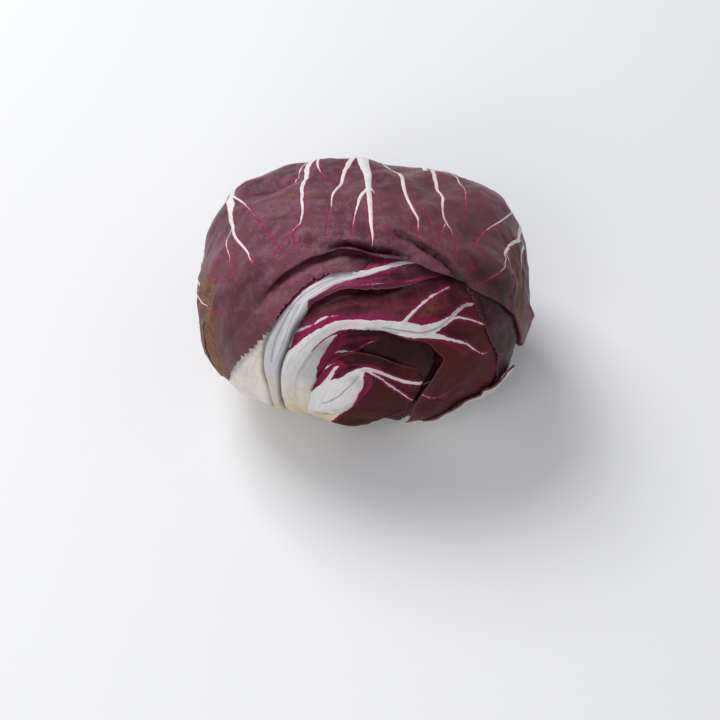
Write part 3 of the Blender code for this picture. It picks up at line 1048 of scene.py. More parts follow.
@dataclass
class WrapperLeaf(Leaf):
    """The outer leaf round the back, crown and left side. Its front doubles under its own lip."""

    name: str = "wrapper"
    nodes: tuple[str, ...] = ("wrapper_leaf",)
    foot: Numbers = (122, 106, 90, 74, 58)
    rows: Rows = (
        ((165, -48, 0), (128, -46, 0), (90, -45, 0), (52, -46, 0), (18, -42, 0)),
        ((-168, -30, 0), (155, -15, 0), (120, -8, 0), (90, -6, 0), (60, -8, 0), (28, -16, 0), (4, -31, 0)),
        ((-156, -20, 0), (178, 10, 0), (140, 28, 0), (90, 36, 0), (40, 28, 0), (9, 7, 0), (-6, -22, 0)),
        ((-151.5, -15, 0), (-164, 20, 0), (-172, 48, 0), (90, 78, 0), (-2, 50, 0), (-12, 25, 0), (-14, 8, 0),
         (-12.5, -16.5, 0)),
    )
    stations: Numbers = (0, 25, 65, 105, 145, 186, 189, 190.5, 195, 200, 206)
    across: int = 286
    along: tuple[int, ...] = (8, 16, 24, 44, 44, 5, 4, 6, 6, 9)
    finish: LeafFinish = WRAPPER_FINISH
    waves: tuple[Wave, ...] = ((26, 0.6), (11, 0.28), (5, 0.1))
    seed: int = 3
    reach: Reach = UPPER
    veins: tuple[Vein, ...] = (
        Vein(((90, -68), (90, -45), (90, -20), (90, 5), (90, 25), (91, 38), (91, 47), (87, 62), (83, 75),
             (52, 86), (-69, 82), (-78, 74), (-80, 71)), (8, 7, 5, 4.2, 3.8, 3, 2.1, 1.4, 0.95, 0.8, 0.56,
             0.3, 0.05), 0, 0.45),
        Vein(((85, 76), (99, 80), (129, 85), (-131, 83), (-114, 76)), (0.75, 0.6, 0.4, 0.1, -0.2), 1),
        Vein(((82, 74), (63, 78)), (0.5, -0.15), 2),
        Vein(((86, 10), (84, 37), (73, 47), (60, 56), (40, 66), (6, 69), (-10, 67), (-20, 66), (-33, 64)),
             (1.4, 0.95, 0.9, 0.8, 0.6, 0.42, 0.28, 0.1, -0.25), 1),
        Vein(((92, 8), (93, 37), (101, 50), (109, 59), (120, 66), (137, 71), (149, 73), (178, 75),
             (-167, 74), (-140, 69)), (1.4, 1.1, 0.9, 0.6, 0.5, 0.42, 0.28, 0, -0.08, -0.3), 2),
        Vein(((112, 34), (120, 46), (126, 57)), (0.55, 0.4, -0.2), 0),
        Vein(((95, -2), (104, 18), (111.3, 34.5), (122.6, 41.3), (135, 51.9), (148.9, 57.1), (160.7, 60.5),
             (180, 62.7), (-167.6, 62.4)), (1.7, 1.4, 1.3, 1.15, 0.85, 0.6, 0.5, 0.38, 0.16), 1),
        Vein(((-167, 62), (-160, 58), (-152, 50), (-149, 46)), (0.15, -0.1, -0.12, -0.5), 0, 0.1),
        Vein(((116, 34), (124, 38), (133, 44), (142, 47), (153, 49)), (0.35, 0.32, 0.25, 0.1, -0.3), 2),
        Vein(((95, -22), (115, 2), (135, 18), (145, 23), (149, 22), (161, 28), (169, 31), (175, 33),
             (-176, 36), (-166, 39.5), (-157, 41.3), (-152, 42)), (2.2, 2, 1.8, 1.8, 1.8, 1.4, 1, 0.66, 0.46,
             0.34, 0.14, -0.35), 2),
        Vein(((175, 33), (-180, 31), (-173, 32), (-163, 32), (-155, 32)), (0.45, 0.26, 0.1, -0.05, -0.3), 0),
        Vein(((154, 25), (162, 35), (168, 40), (178, 45), (-169, 50), (-157, 52)), (0.5, 0.2, 0, -0.1, -0.15,
             -0.5), 1, 0.15),
        Vein(((100, -35), (135, -2), (158, 6), (174, 7.5), (179, 6), (-171.8, 9.8), (-164.2, 12.1),
             (-159.2, 14.7), (-154.5, 18.2), (-148.8, 22)), (1.2, 0.9, 0.8, 0.7, 0.65, 0.5, 0.3, -0.02, -0.1,
             -0.4), 0),
        Vein(((84, -8), (65, 20), (49, 40), (39, 46), (28, 50), (7, 56), (-3, 56), (-7, 55), (-13, 53),
             (-18, 52), (-31, 48)), (1.4, 1.1, 0.7, 0.6, 0.46, 0.36, 0.28, 0.2, 0.04, -0.08, -0.4), 2),
        Vein(((-8, 56), (-20, 57), (-30, 56)), (0.1, -0.15, -0.5), 0, 0.1),
        Vein(((63, 23), (44, 33), (27, 40), (14, 45), (5, 47)), (0.4, 0.3, 0.06, -0.05, -0.4), 1, 0.15),
        Vein(((82, -15), (60, 5), (38, 12), (23, 18), (9, 31), (2.7, 36.5), (-3, 40), (-8.3, 41.9),
             (-15.6, 43.9), (-19.1, 43.9)), (1.2, 1, 0.7, 0.45, 0.24, 0.1, -0.02, -0.08, -0.14, -0.5), 1,
             0.2),
        Vein(((84, -30), (45, -5), (20, 10), (5.7, 21.1), (1.5, 25.2), (-7.2, 30.7), (-9.5, 31.7),
             (-11.1, 30.9), (-15.8, 31.8), (-19.9, 32.7), (-24.8, 34.2), (-30, 35.7)), (1.8, 1.5, 1.1, 0.8,
             0.6, 0.5, 0.32, 0.16, 0.18, 0.06, -0.04, -0.35), 2),
        Vein(((-9, 31), (-11.5, 28.2), (-14.2, 26.7), (-18.6, 25.5), (-22.8, 23.5), (-25.5, 21),
             (-25.2, 17)), (0.3, 0.1, 0.02, -0.04, -0.08, -0.12, -0.4), 0, 0.2),
        Vein(((42, -3), (28, 9), (14, 15), (6, 17.5), (-0.5, 19.3), (-6, 17)), (0.9, 0.9, 0.9, 0.8, 0.5,
             -0.1), 1, 0.2),
        Vein(((80, -42), (50, -25), (22, -14), (0, -8)), (1.4, 1, 0.6, 0), 0),
        Vein(((103, -45), (135, -28), (162, -20), (-178, -14)), (1.3, 0.9, 0.5, -0.1), 1),
        Vein(((-169, 48.8), (-156.5, 51.8), (-149.3, 52.6)), (-0.22, -0.18, -0.5), 1, 0.1),
        Vein(((-163, 63), (-159, 59.2), (-149.3, 57), (-147, 53)), (-0.3, -0.16, -0.2, -0.5), 0, 0.1),
        Vein(((-150, 58), (-143, 60), (-138, 62)), (-0.2, -0.25, -0.5), 1, 0.1),
        Vein(((10, 66), (-8, 62), (-24, 60)), (-0.4, -0.2, -0.5), 0, 0.1),
        Vein(((170, 22), (178, 27), (-172, 26), (-164, 24)), (-0.3, -0.15, -0.2, -0.5), 1, 0.1),
        Vein(((-170, 20), (-162, 27), (-158, 36)), (-0.35, -0.2, -0.5), 2, 0.1),
    )
    folds: tuple[Fold, ...] = (
        Fold(((-42, 73), (-40.2, 68.7), (-37.7, 65.7), (-36.8, 60.3), (-35.7, 55.1), (-35, 50),
             (-35.2, 45.9), (-35.4, 41)), 1.15, -2.3, 0.6),
        Fold(((-47, 66), (-43, 60), (-40, 53), (-38, 46)), 1.3, 0.8),
        Fold(((-52, 61.6), (-48.5, 57.5), (-45, 53), (-42, 50)), 0.7, 0.45),
        Fold(((-36, 68), (-32, 60), (-31, 50), (-32, 42)), 2, 0.9),
        Fold(((-127.5, 65.6), (-121.6, 68.4), (-111.2, 70.5), (-96.6, 70.7), (-82.7, 69.2), (-67.9, 66.9),
             (-58.5, 64.2), (-52.8, 60.8)), 0.85, -3.6),
        Fold(((-126, 68), (-118, 71), (-96, 73), (-78, 71.5), (-64, 68)), 1.6, 0.7),
        Fold(((157, 52), (157, 60), (148, 63)), 0.8, -0.5),
        Fold(((148, 44), (151, 39), (153, 34)), 0.8, 0.7),
        Fold(((143, 45), (144, 41), (146, 37)), 0.7, -0.7),
        Fold(((136, 47), (137, 43), (139, 39)), 0.8, 0.6),
        Fold(((-139.4, 38.8),), 1.8, -0.9),
        Fold(((155, 56), (150, 62)), 0.9, -0.7),
        Fold(((-145.4, 62.8),), 2, -1.1),
        Fold(((-152, 26), (-151, 34), (-150, 44)), 4, -1.3),
        Fold(((-145, 30), (-144, 40), (-145, 52)), 2.6, 0.7),
        Fold(((-144, 28), (-139, 30), (-134, 33)), 0.8, 0.3, reach=EVERYWHERE),
        Fold(((-8, 44),), 4, -1.2),
        Fold(((-16, 40),), 3.4, 0.8),
        Fold(((-41, 74),), 3.5, -0.6),
        Fold(((150, 31),), 2.2, -1.6),
        Fold(((138, 34), (142, 40), (150, 46)), 1.2, 0.8),
        Fold(((130, 36), (134, 44), (140, 50)), 1.2, -0.8),
        Fold(((124, 50), (132, 54), (142, 55)), 1.3, 0.6),
        Fold(((4, 34), (-3.7, 26), (-11.9, 22.4), (-19, 12)), 1, -0.9),
        Fold(((0, 32), (-6, 27), (-14, 21), (-20, 14)), 0.8, 0.7),
        Fold(((8, 28), (0, 22), (-8, 16), (-14, 8)), 0.9, -0.8),
        Fold(((10, 22), (2, 15), (-6, 9)), 0.9, 0.6),
        Fold(((-24, 30), (-22, 20), (-21, 12)), 1.2, -0.9),
        Fold(((-118, 61), (-108, 63.5), (-97, 64.5), (-86, 65)), 1.5, 0.9, reach=BAND),
        Fold(((-126, 52), (-118, 57), (-110, 59.5), (-100, 60.5)), 0.9, 0.7, reach=BAND),
        Fold(((-122, 56), (-114, 59.5), (-104, 61.5)), 0.9, -0.6, reach=BAND),
        Fold(((-138, 40), (-134, 48), (-128, 54)), 1.4, 0.5, reach=BAND),
        Fold(((-11, 1), (-12, -7), (-14, -15)), 5, -1.1),
        Fold(((-12.5, 28), (-18, 24.5), (-22, 20), (-23, 12)), 1.1, 0.7),
        Fold(((170, 58), (174, 50), (172, 42)), 3, -0.9),
        Fold(((-166, 50), (-160, 44), (-158, 36)), 3.2, 0.8),
        Fold(((60, 72), (20, 74), (-20, 72)), 3, -0.6),
        Fold(((20, 62), (6, 60), (-6, 62)), 2.2, 0.6),
        Fold(((-2, 50), (-12, 46), (-20, 47)), 1.6, -0.8),
        Fold(((-160, 24), (-156, 14), (-158, 2)), 1.6, 0.8),
        Fold(((-166, 22), (-162, 12), (-165, 0)), 1.4, -0.8),
        Fold(((-170, 16), (-168, 4), (-171, -10)), 1.2, 0.6),
        Fold(((-157, -2), (-154, -10), (-152, -16)), 1.2, -0.6),
        Fold(((68, 60), (74, 66), (80, 70)), 2.4, -0.8),
        Fold(((110, 62), (118, 70), (130, 76)), 2.6, -0.7),
    )
    patches: tuple[Patch, ...] = (
        Patch(((-174, -20), (-170, -4), (-170, 8)), 7, 1, BRONZE),
        Patch(((-164, 17), (-156, 8), (-151, 0), (-147, -9)), 6.4, 1, BRONZE, reach=EVERYWHERE),
        Patch(((24, 52), (2, 42), (-16, 34), (-20, 16)), 15, 0.8, BROWN_AND_PAINTED_LIGHT),
        Patch(((-155, 2), (-143, 15)), 12, 0.85, BROWN_AND_PAINTED_LIGHT, reach=EVERYWHERE),
        Patch(((-40, 72), (-39, 68)), 1.8, 0.85, PAINTED_SHADE),
        Patch(((-40, 69), (-37.7, 65.7), (-36.8, 60.3), (-35.7, 55.1), (-35, 50), (-35.2, 45.9),
              (-35.2, 40)), 1, 0.95, PAINTED_SHADE),
        Patch(((-44, 73), (-48, 76)), 2.6, 0.4, BLUSH),
        Patch(((-127.5, 65.6), (-121.6, 68.4), (-111.2, 70.5), (-96.6, 70.7), (-82.7, 69.2), (-67.9, 66.9),
              (-58.5, 64.2), (-52.8, 60.8)), 1.25, 1, PAINTED_SHADE),
        Patch(((-141, 40), (-140, 47), (-136, 55), (-130, 59.5), (-124, 62.5), (-118, 64.8), (-105, 66.8),
              (-92, 66.2), (-82, 64.6), (-72, 62.5)), 1.1, 0.9, PAINTED_SHADE, reach=(189.5, 1e9)),
        Patch(((-100, 64.6), (-92, 64.3), (-82, 63)), 1.6, 0.7, PAINTED_SHADE, reach=BAND),
        Patch(((-13, 4), (-13, -3)), 1.8, 0.8, BLUSH),
        Patch(((-151, 29), (-151, 38)), 4, 0.55, PAINTED_SHADE),
        Patch(((-157, 34), (-154, 26)), 3, 0.5, BROWN_AND_PAINTED_LIGHT),
        Patch(((-145.4, 62.8),), 1.6, 0.8, PAINTED_SHADE),
        Patch(((-145.4, 62.8),), 2.4, 0.35, BLUSH),
        Patch(((157, 55), (150, 62)), 1.1, 0.8, BRONZE),
        Patch(((-8, 44),), 5, 0.4, PAINTED_SHADE),
        Patch(((-16, 40),), 3, 0.35, BLUSH),
        Patch(((-5, 38),), 3.4, 0.3, BLUSH),
        Patch(((4, 31),), 3, 0.35, BLUSH),
        Patch(((174, 38), (-176, 44)), 5, 0.25, BLUSH),
        Patch(((4, 26), (-6, 22), (-14, 19), (-20, 12)), 3, 0.75, BRONZE),
        Patch(((-24, 28), (-22, 18)), 2.2, 0.5, PAINTED_SHADE),
        Patch(((150, 31),), 2, 0.5, BLUSH),
        Patch(((150, 31), (152, 34)), 1.6, 0.6, PAINTED_SHADE),
        Patch(((153, 34), (149, 39.5), (141, 42.5), (131, 43)), 2.6, 0.65, BLUSH),
        Patch(((151, 38), (143, 42), (134, 44)), 1.7, 0.6, PAINTED_SHADE),
        Patch(((-27, 42), (-26, 36), (-23, 27)), 4.5, 0.8, PAINTED_SHADE),
        Patch(((-28, 42),), 3.5, 0.5, BLUSH),
        Patch(((-30, 30), (-27, 24), (-24, 16)), 2.6, 0.45, PAINTED_SHADE),
        Patch(((-139.4, 38.8), (-141, 35)), 2.2, 0.6, PAINTED_SHADE),
        Patch(((-143, 8), (-140, 24), (-137, 36)), 9, 0.3, PAINTED_SHADE),
        Patch(((140, -60), (90, -62), (40, -60)), 14, 0.9, BEIGE, reach=EVERYWHERE),
    )
    teeth: tuple[Teeth, ...] = (Teeth(Edge.TIP, 3.2, 2.3, 5, 0, 0.62), Teeth(Edge.TIP, 2.6, 3.1, 6, 0, 0.24))
    lip: Line = (
        (-150, -13), (-149, 0), (-147, 12), (-145, 24), (-142.5, 34), (-141.8, 38), (-141, 43),
        (-140.2, 47.7), (-138.3, 52.3), (-135.2, 57.5), (-129.8, 61.1), (-124.1, 64.3), (-119.1, 66.6),
        (-113.9, 67.8), (-104.5, 68.5), (-92.8, 68.1), (-82.1, 66.5), (-70.3, 64.1), (-59.3, 61.4),
        (-53.1, 58.9), (-49.1, 56), (-45.5, 51.5), (-41.5, 47.8), (-38, 44), (-35.6, 40.5), (-34.4, 36.5),
        (-32.2, 32), (-28.9, 26.6), (-26.8, 22), (-25, 17.5), (-22.5, 10.5), (-22, 3.5), (-20, -5),
        (-16, -13),
    )
    margin: Line = (
        (-146, -11), (-143, -2), (-140, 5), (-136, 14), (-133, 20), (-131, 26), (-130, 32), (-129.5, 38),
        (-129, 42), (-127.7, 46), (-124.5, 50), (-120, 53.8), (-113.5, 56.5), (-105, 58.2), (-97.5, 59.3),
        (-89.5, 62.3), (-83.7, 63.5), (-77.3, 64.7),
    )
    fold_start: float = 44.0

    def row_lines(self) -> Array:
        """Space the back's rows evenly, then add the rows of the doubled front.

        Returns:
            Knots by columns by four: a unit vector and a depth.
        """
        back = super().row_lines()
        columns = self.across + 1
        lip = self.on_head(self.lip, columns)
        reach = run_along(lip * USUAL_RADIUS)
        tangent = np.gradient(lip, axis=0)
        upward = unit(np.cross(lip, tangent))
        # The band below the lip narrows to nothing where the lip covers it
        bare = self.on_head(self.margin, 200)
        band_end = float(reach[np.argmin(np.linalg.norm(lip - bare[-1], axis=1))])
        share = np.clip(reach / band_end, 0, 1)
        spots = np.linspace(0, 1, len(bare))
        edge = np.stack([np.interp(share, spots, part) for part in bare.T], -1)
        hidden = ease(reach, band_end - 6, band_end + 2)[:, None]
        folded = ease(reach, self.fold_start - 4, self.fold_start + 12)[:, None]
        step = upward / USUAL_RADIUS

        deep = ease(reach, 70, 80)[:, None] * (1 - ease(reach, band_end - 5, band_end + 1)[:, None])
        # Six rows: above the lip, the lip, its roll, tucked under it, the band's middle and its edge
        near = lip + step * 2.6
        roll = lip * (1 - folded) + (lip + step * 0.5) * folded
        roll = roll + (edge - lip) * 0.12 * (1 - folded)
        tuck = lip + step * (3.4 * folded) + (edge - lip) * 0.35 * (1 - folded)
        band = lip + (edge - lip) * 0.55
        band = band * (1 - hidden) + (lip + step * 4.5) * hidden
        edge = edge * (1 - hidden) + (lip + step * 6.0) * hidden
        flat = np.zeros_like(folded)
        front = (
            (near, flat - 0.45 * folded),
            (lip, 0.1 * folded),
            (roll, 0.15 + 1.05 * folded),
            (tuck, 0.2 + folded * (3.4 + 1.6 * deep + 1.2 * hidden)),
            (band, 0.35 + folded * (1.45 + 0.2 * deep + 3.4 * hidden)),
            (edge, 0.5 + folded * (1.4 + 3.6 * hidden)),
        )
        front = np.array([np.concatenate([unit(way), depth], -1) for way, depth in front])
        return np.concatenate([back, front])

    def on_head(self, places: Line, count: int) -> Array:
        """Space a line of places evenly.

        Args:
            places: The line's knots.
            count: How many points to give.

        Returns:
            Unit vectors.
        """
        bearings, rises = np.array(places, float).T
        return unit(even_line(heading(bearings, rises), count))


@dataclass
class RightLeaf(Leaf):
    """The leaf round the right side, under the wrapper leaf."""

    name: str = "right_blade"
    nodes: tuple[str, ...] = ("right_leaf",)
    foot: Numbers = (46, 24, 2)
    foot_depth: float = 2.2
    rows: Rows = (
        ((70, -36, 2.3), (25, -38, 2.3), (-5, -42, 2.1), (-28, -40, 1.8)),
        ((75, -5, 2.7), (30, -8, 2.7), (-5, -12, 2.3), (-32, -14, 1.5)),
        ((70, 10, 2.8), (30, 8, 2.8), (-8, 3, 2.3), (-34, 2, 1.9)),
        ((70, 22, 2.8), (30, 18, 2.6), (0, 14, 2.1), (-37, 13, 2.1)),
        ((60, 42, 2.2), (30, 40, 2.2), (0, 36, 2.2), (-38, 25, 2.1)),
        ((40, 56, 2.4), (15, 54, 2.4), (-8, 48, 2.4), (-36, 37, 2.2)),
    )
    stations: Numbers = (0, 28, 52, 64, 76, 92, 106)
    across: int = 110
    along: tuple[int, ...] = (16, 20, 18, 18, 20, 16)
    finish: LeafFinish = SIDE_FINISH
    seed: int = 11
    veins: tuple[Vein, ...] = (
        Vein(((24, -70), (24, -45), (20, -15), (14, 10), (8, 35)), (6, 5, 3, 1.6, 0.8), 0, 0.3),
        Vein(((21, -30), (0, -14), (-18, 0), (-30, 12)), (1, 0.5, 0, -0.4), 1),
        Vein(((20, -20), (40, 0), (55, 18)), (0.8, 0.5, 0.1), 2),
    )
    folds: tuple[Fold, ...] = (
        Fold(((-28, 26), (-27, 14), (-24, 0)), 3, 0.4),
        Fold(((-20, -2), (-12, -18), (-6, -30)), 3.5, -0.6),
    )
    patches: tuple[Patch, ...] = (
        Patch(((-27, 4), (-20, -8), (-14, -20)), 11, 0.7, BROWN_AND_PAINTED_LIGHT),
        Patch(((-34, 30), (-37, 22), (-36, 10), (-33, 2)), 0.7, 0.6, PAINTED_SHADE),
        Patch(((-27, 28), (-24, 18)), 2.2, 0.7, PAINTED_SHADE),
        Patch(((20, -62),), 16, 0.9, BEIGE),
    )
    teeth: tuple[Teeth, ...] = (Teeth(Edge.SIDE, 1.3, 1.9, 7, 0.4, 1),)


@dataclass
class LeftLeaf(Leaf):
    """The broad white petiole at the lower left."""

    name: str = "left_petiole"
    nodes: tuple[str, ...] = ("left_leaf",)
    foot: Numbers = (-167, -152, -137)
    foot_depth: float = 1.5
    rows: Rows = (
        ((-170, -42, 1.8), (-150, -40, 1.1), (-137, -38, 1), (-129, -38, 2.2)),
        ((-172, -10, 1.9), (-150, -8, 1.4), (-136, -8, 1), (-127, -6, 2.6)),
        ((-170, 8, 1.9), (-150, 8, 1.7), (-136, 8, 1.2), (-128, 8, 2.9)),
        ((-170, 18, 1.9), (-150, 18, 1.9), (-136, 18, 1.5), (-128.5, 18, 3)),
        ((-164, 36, 1.9), (-150, 33, 2), (-137, 29, 2.2), (-130, 27, 3.2)),
    )
    stations: Numbers = (0, 28, 55, 68, 78, 95)
    across: int = 70
    along: tuple[int, ...] = (22, 36, 24, 18, 16)
    finish: LeafFinish = PETIOLE_FINISH
    waves: tuple[Wave, ...] = ((18, 0.3), (6, 0.06))
    seed: int = 21
    veins: tuple[Vein, ...] = (Vein(((-150, -70), (-150, -10), (-150, 40)), (30, 30, 30), 0, 0),)
    folds: tuple[Fold, ...] = (
        Fold(((-139, -40), (-136.5, -15), (-134, 5), (-133.5, 18)), 1.5, -0.5),
        Fold(((-146, -35), (-142, -15), (-138.5, 3)), 2.2, 0.5),
        Fold(((-134, -40), (-132.5, -15), (-131.5, 10)), 1.2, 0.35),
    )
    patches: tuple[Patch, ...] = (
        Patch(((-170, -44), (-145, -44), (-130, -42)), 14, 0.9, BEIGE),
        Patch(((-141, -24), (-137, -10), (-134, 4)), 14, 0.3, BEIGE),
        Patch(((-132, -26), (-129.8, -10), (-130.2, 0), (-131.2, 10), (-131.8, 18), (-132, 26)), 1, 0.85,
              PAINTED_SHADE),
        Patch(((-143, -2), (-138.5, 8), (-134.5, 18)), 1.1, 0.5, PAINTED_SHADE),
    )


@dataclass
class LongRibLeaf(Leaf):
    """The leaf whose white rib runs up and right under the wrapper leaf's lip."""

    name: str = "long_rib"
    nodes: tuple[str, ...] = ("long_rib_leaf",)
    foot: Numbers = (-136, -132, -128)
    foot_depth: float = 1.3
    rows: Rows = (
        ((-134, -30, 2.8), (-131.6, -30, 1.1), (-129.8, -30, 0.9), (-128.2, -30, 0.9), (-126.2, -30, 2.8)),
        ((-131, -6, 3), (-128.6, -6, 1), (-127.2, -6, 0.8), (-125.6, -6, 0.9), (-124.4, -6, 3.6)),
        ((-132.2, 14, 3.2), (-130, 14, 1.2), (-127.3, 14, 1.1), (-124.8, 14, 1), (-123.4, 14, 4)),
        ((-132.4, 27, 3.4), (-129.8, 28, 1.6), (-126.4, 28, 1.5), (-123.3, 28, 1.2), (-121.7, 27.5, 4)),
        ((-131.5, 38, 3.6), (-128.2, 38, 2.1), (-125, 37.5, 1.9), (-122.3, 37.6, 1.6), (-120.2, 37.6, 3.6)),
        ((-131, 49, 3.8), (-126.3, 46, 2.5), (-123.6, 44.2, 2), (-121.4, 43, 1.8), (-118.8, 42.2, 3)),
        ((-124, 58, 3.9), (-120.5, 52, 2.7), (-118.5, 49.6, 2), (-116.6, 47.6, 1.9), (-114, 46.4, 2.5)),
        ((-110, 64, 3.9), (-108.5, 58.6, 2.8), (-107.5, 56, 2.1), (-105.5, 53.2, 1.9), (-104, 51.4, 2)),
        ((-84, 69, 3.9), (-86.5, 62.3, 2.8), (-87.5, 59.3, 2.1), (-88.5, 55.5, 2), (-89.5, 52, 2)),
        ((-55, 68, 4), (-61, 63.5, 3), (-61.5, 60.3, 2.2), (-62.5, 55, 2.2), (-63.5, 50.3, 2.5)),
        ((-36, 62, 4.6), (-43.5, 59, 3.6), (-45.5, 57, 2.8), (-46.5, 52.5, 2.6), (-48, 48.7, 2.7)),
        ((-22, 52, 5.4), (-28, 49, 4.6), (-31, 47, 4.2), (-33, 45, 4), (-36, 42.8, 4)),
    )
    stations: Numbers = (0, 30, 52, 68, 79, 88, 95, 102, 112, 125, 143, 156, 170)
    across: int = 64
    along: tuple[int, ...] = (16, 20, 20, 14, 14, 14, 14, 18, 22, 30, 20, 14)
    finish: LeafFinish = RIB_FINISH
    thickness: float = 0.5
    waves: tuple[Wave, ...] = ((14, 0.18), (5, 0.05))
    seed: int = 31
    veins: tuple[Vein, ...] = (
        Vein(((-127, -70), (-127, -11), (-126, 14), (-125.3, 28), (-124.6, 37.3), (-124, 43.4), (-119.7, 49),
             (-111.9, 54.8), (-100.4, 57.9), (-88.2, 59.3), (-72, 60.4), (-61.5, 60), (-52, 58.7),
             (-38, 53)), (14, 14, 10, 6, 3.6, 2, 2.4, 2.2, 1.8, 1.15, 0.9, 0.85, 0.75, 0.5), 0, 0.1),
        Vein(((-106, 51.8), (-96, 53.6), (-85, 54.2), (-73, 53.8), (-60, 51.8), (-50, 50.2), (-41, 47)),
             (-0.5, -0.12, -0.06, -0.1, -0.2, -0.25, -0.6), 1, 0.3),
    )
    folds: tuple[Fold, ...] = (
        Fold(((-127.6, 4), (-127.8, 18), (-127.9, 25), (-127.5, 32), (-127, 40), (-124, 45.5), (-119, 50.5),
             (-112, 55.5)), 0.5, -0.35),
        Fold(((-126.4, 12), (-125.3, 19.5), (-124.4, 26.3), (-124.6, 33.2), (-124.6, 40)), 0.45, -0.3),
        Fold(((-129.3, 0), (-130, 12), (-129.8, 24), (-129, 34)), 0.8, 0.3),
        Fold(((-124, 42.5), (-119, 48.2), (-111.4, 53.9), (-100.1, 57.2), (-88.2, 59)), 0.35, -0.3),
        Fold(((-116, 48.3), (-106, 53.8), (-96, 56.2), (-84, 57), (-70, 57)), 0.7, -0.5),
        Fold(((-103, 52), (-94, 53.8), (-82, 54.4), (-70, 54), (-58, 52)), 0.8, 0.8),
        Fold(((-96, 56), (-84, 56.6), (-70, 56.2), (-58, 54)), 0.8, -0.6),
    )
    patches: tuple[Patch, ...] = (
        Patch(((-132, -45), (-129, -28)), 10, 0.9, BEIGE),
        Patch(((-128, -22), (-127, -8), (-127, 0)), 9, 0.5, BEIGE),
        Patch(((-127.8, 14), (-127.9, 25), (-127.5, 32), (-127, 40), (-124, 45.5), (-119, 50.5),
              (-110, 55.6), (-98, 58.3)), 0.3, 0.5, PAINTED_SHADE),
        Patch(((-125.8, 14), (-124.4, 26.3), (-124.6, 33.2), (-124.4, 40)), 0.28, 0.45, PAINTED_SHADE),
        Patch(((-131.6, -26), (-129.4, -10), (-130, 0), (-131.2, 10), (-131.8, 18), (-132, 26)), 0.6, 0.55,
              PAINTED_SHADE),
        Patch(((-126, -24), (-124.8, -8), (-124.2, 6), (-123.9, 13), (-122.8, 22), (-122.2, 30), (-120, 38)),
              0.75, 1, PAINTED_SHADE),
        Patch(((-118, 46), (-113, 50), (-106, 53.6), (-96, 55.6), (-84, 56.8), (-72, 57.6)), 1, 0.9,
              BLUSH),
        Patch(((-97, 60.5), (-85, 62), (-72, 62.6), (-62, 61.6)), 0.9, 0.95, BLUSH),
        Patch(((-72, 55), (-62, 54), (-52, 51)), 2.2, 0.5, PAINTED_SHADE),
        Patch(((-123, 41.5),), 0.9, 0.9, BLUSH),
        Patch(((-94, 50.8), (-76, 51), (-62, 50)), 0.7, 0.6, PAINTED_SHADE),
        Patch(((-46, 52), (-38, 48)), 3.5, 0.6, PAINTED_SHADE),
    )
    teeth: tuple[Teeth, ...] = (Teeth(Edge.SIDE, 0.45, 2.4, 9, 0.45, 1),)


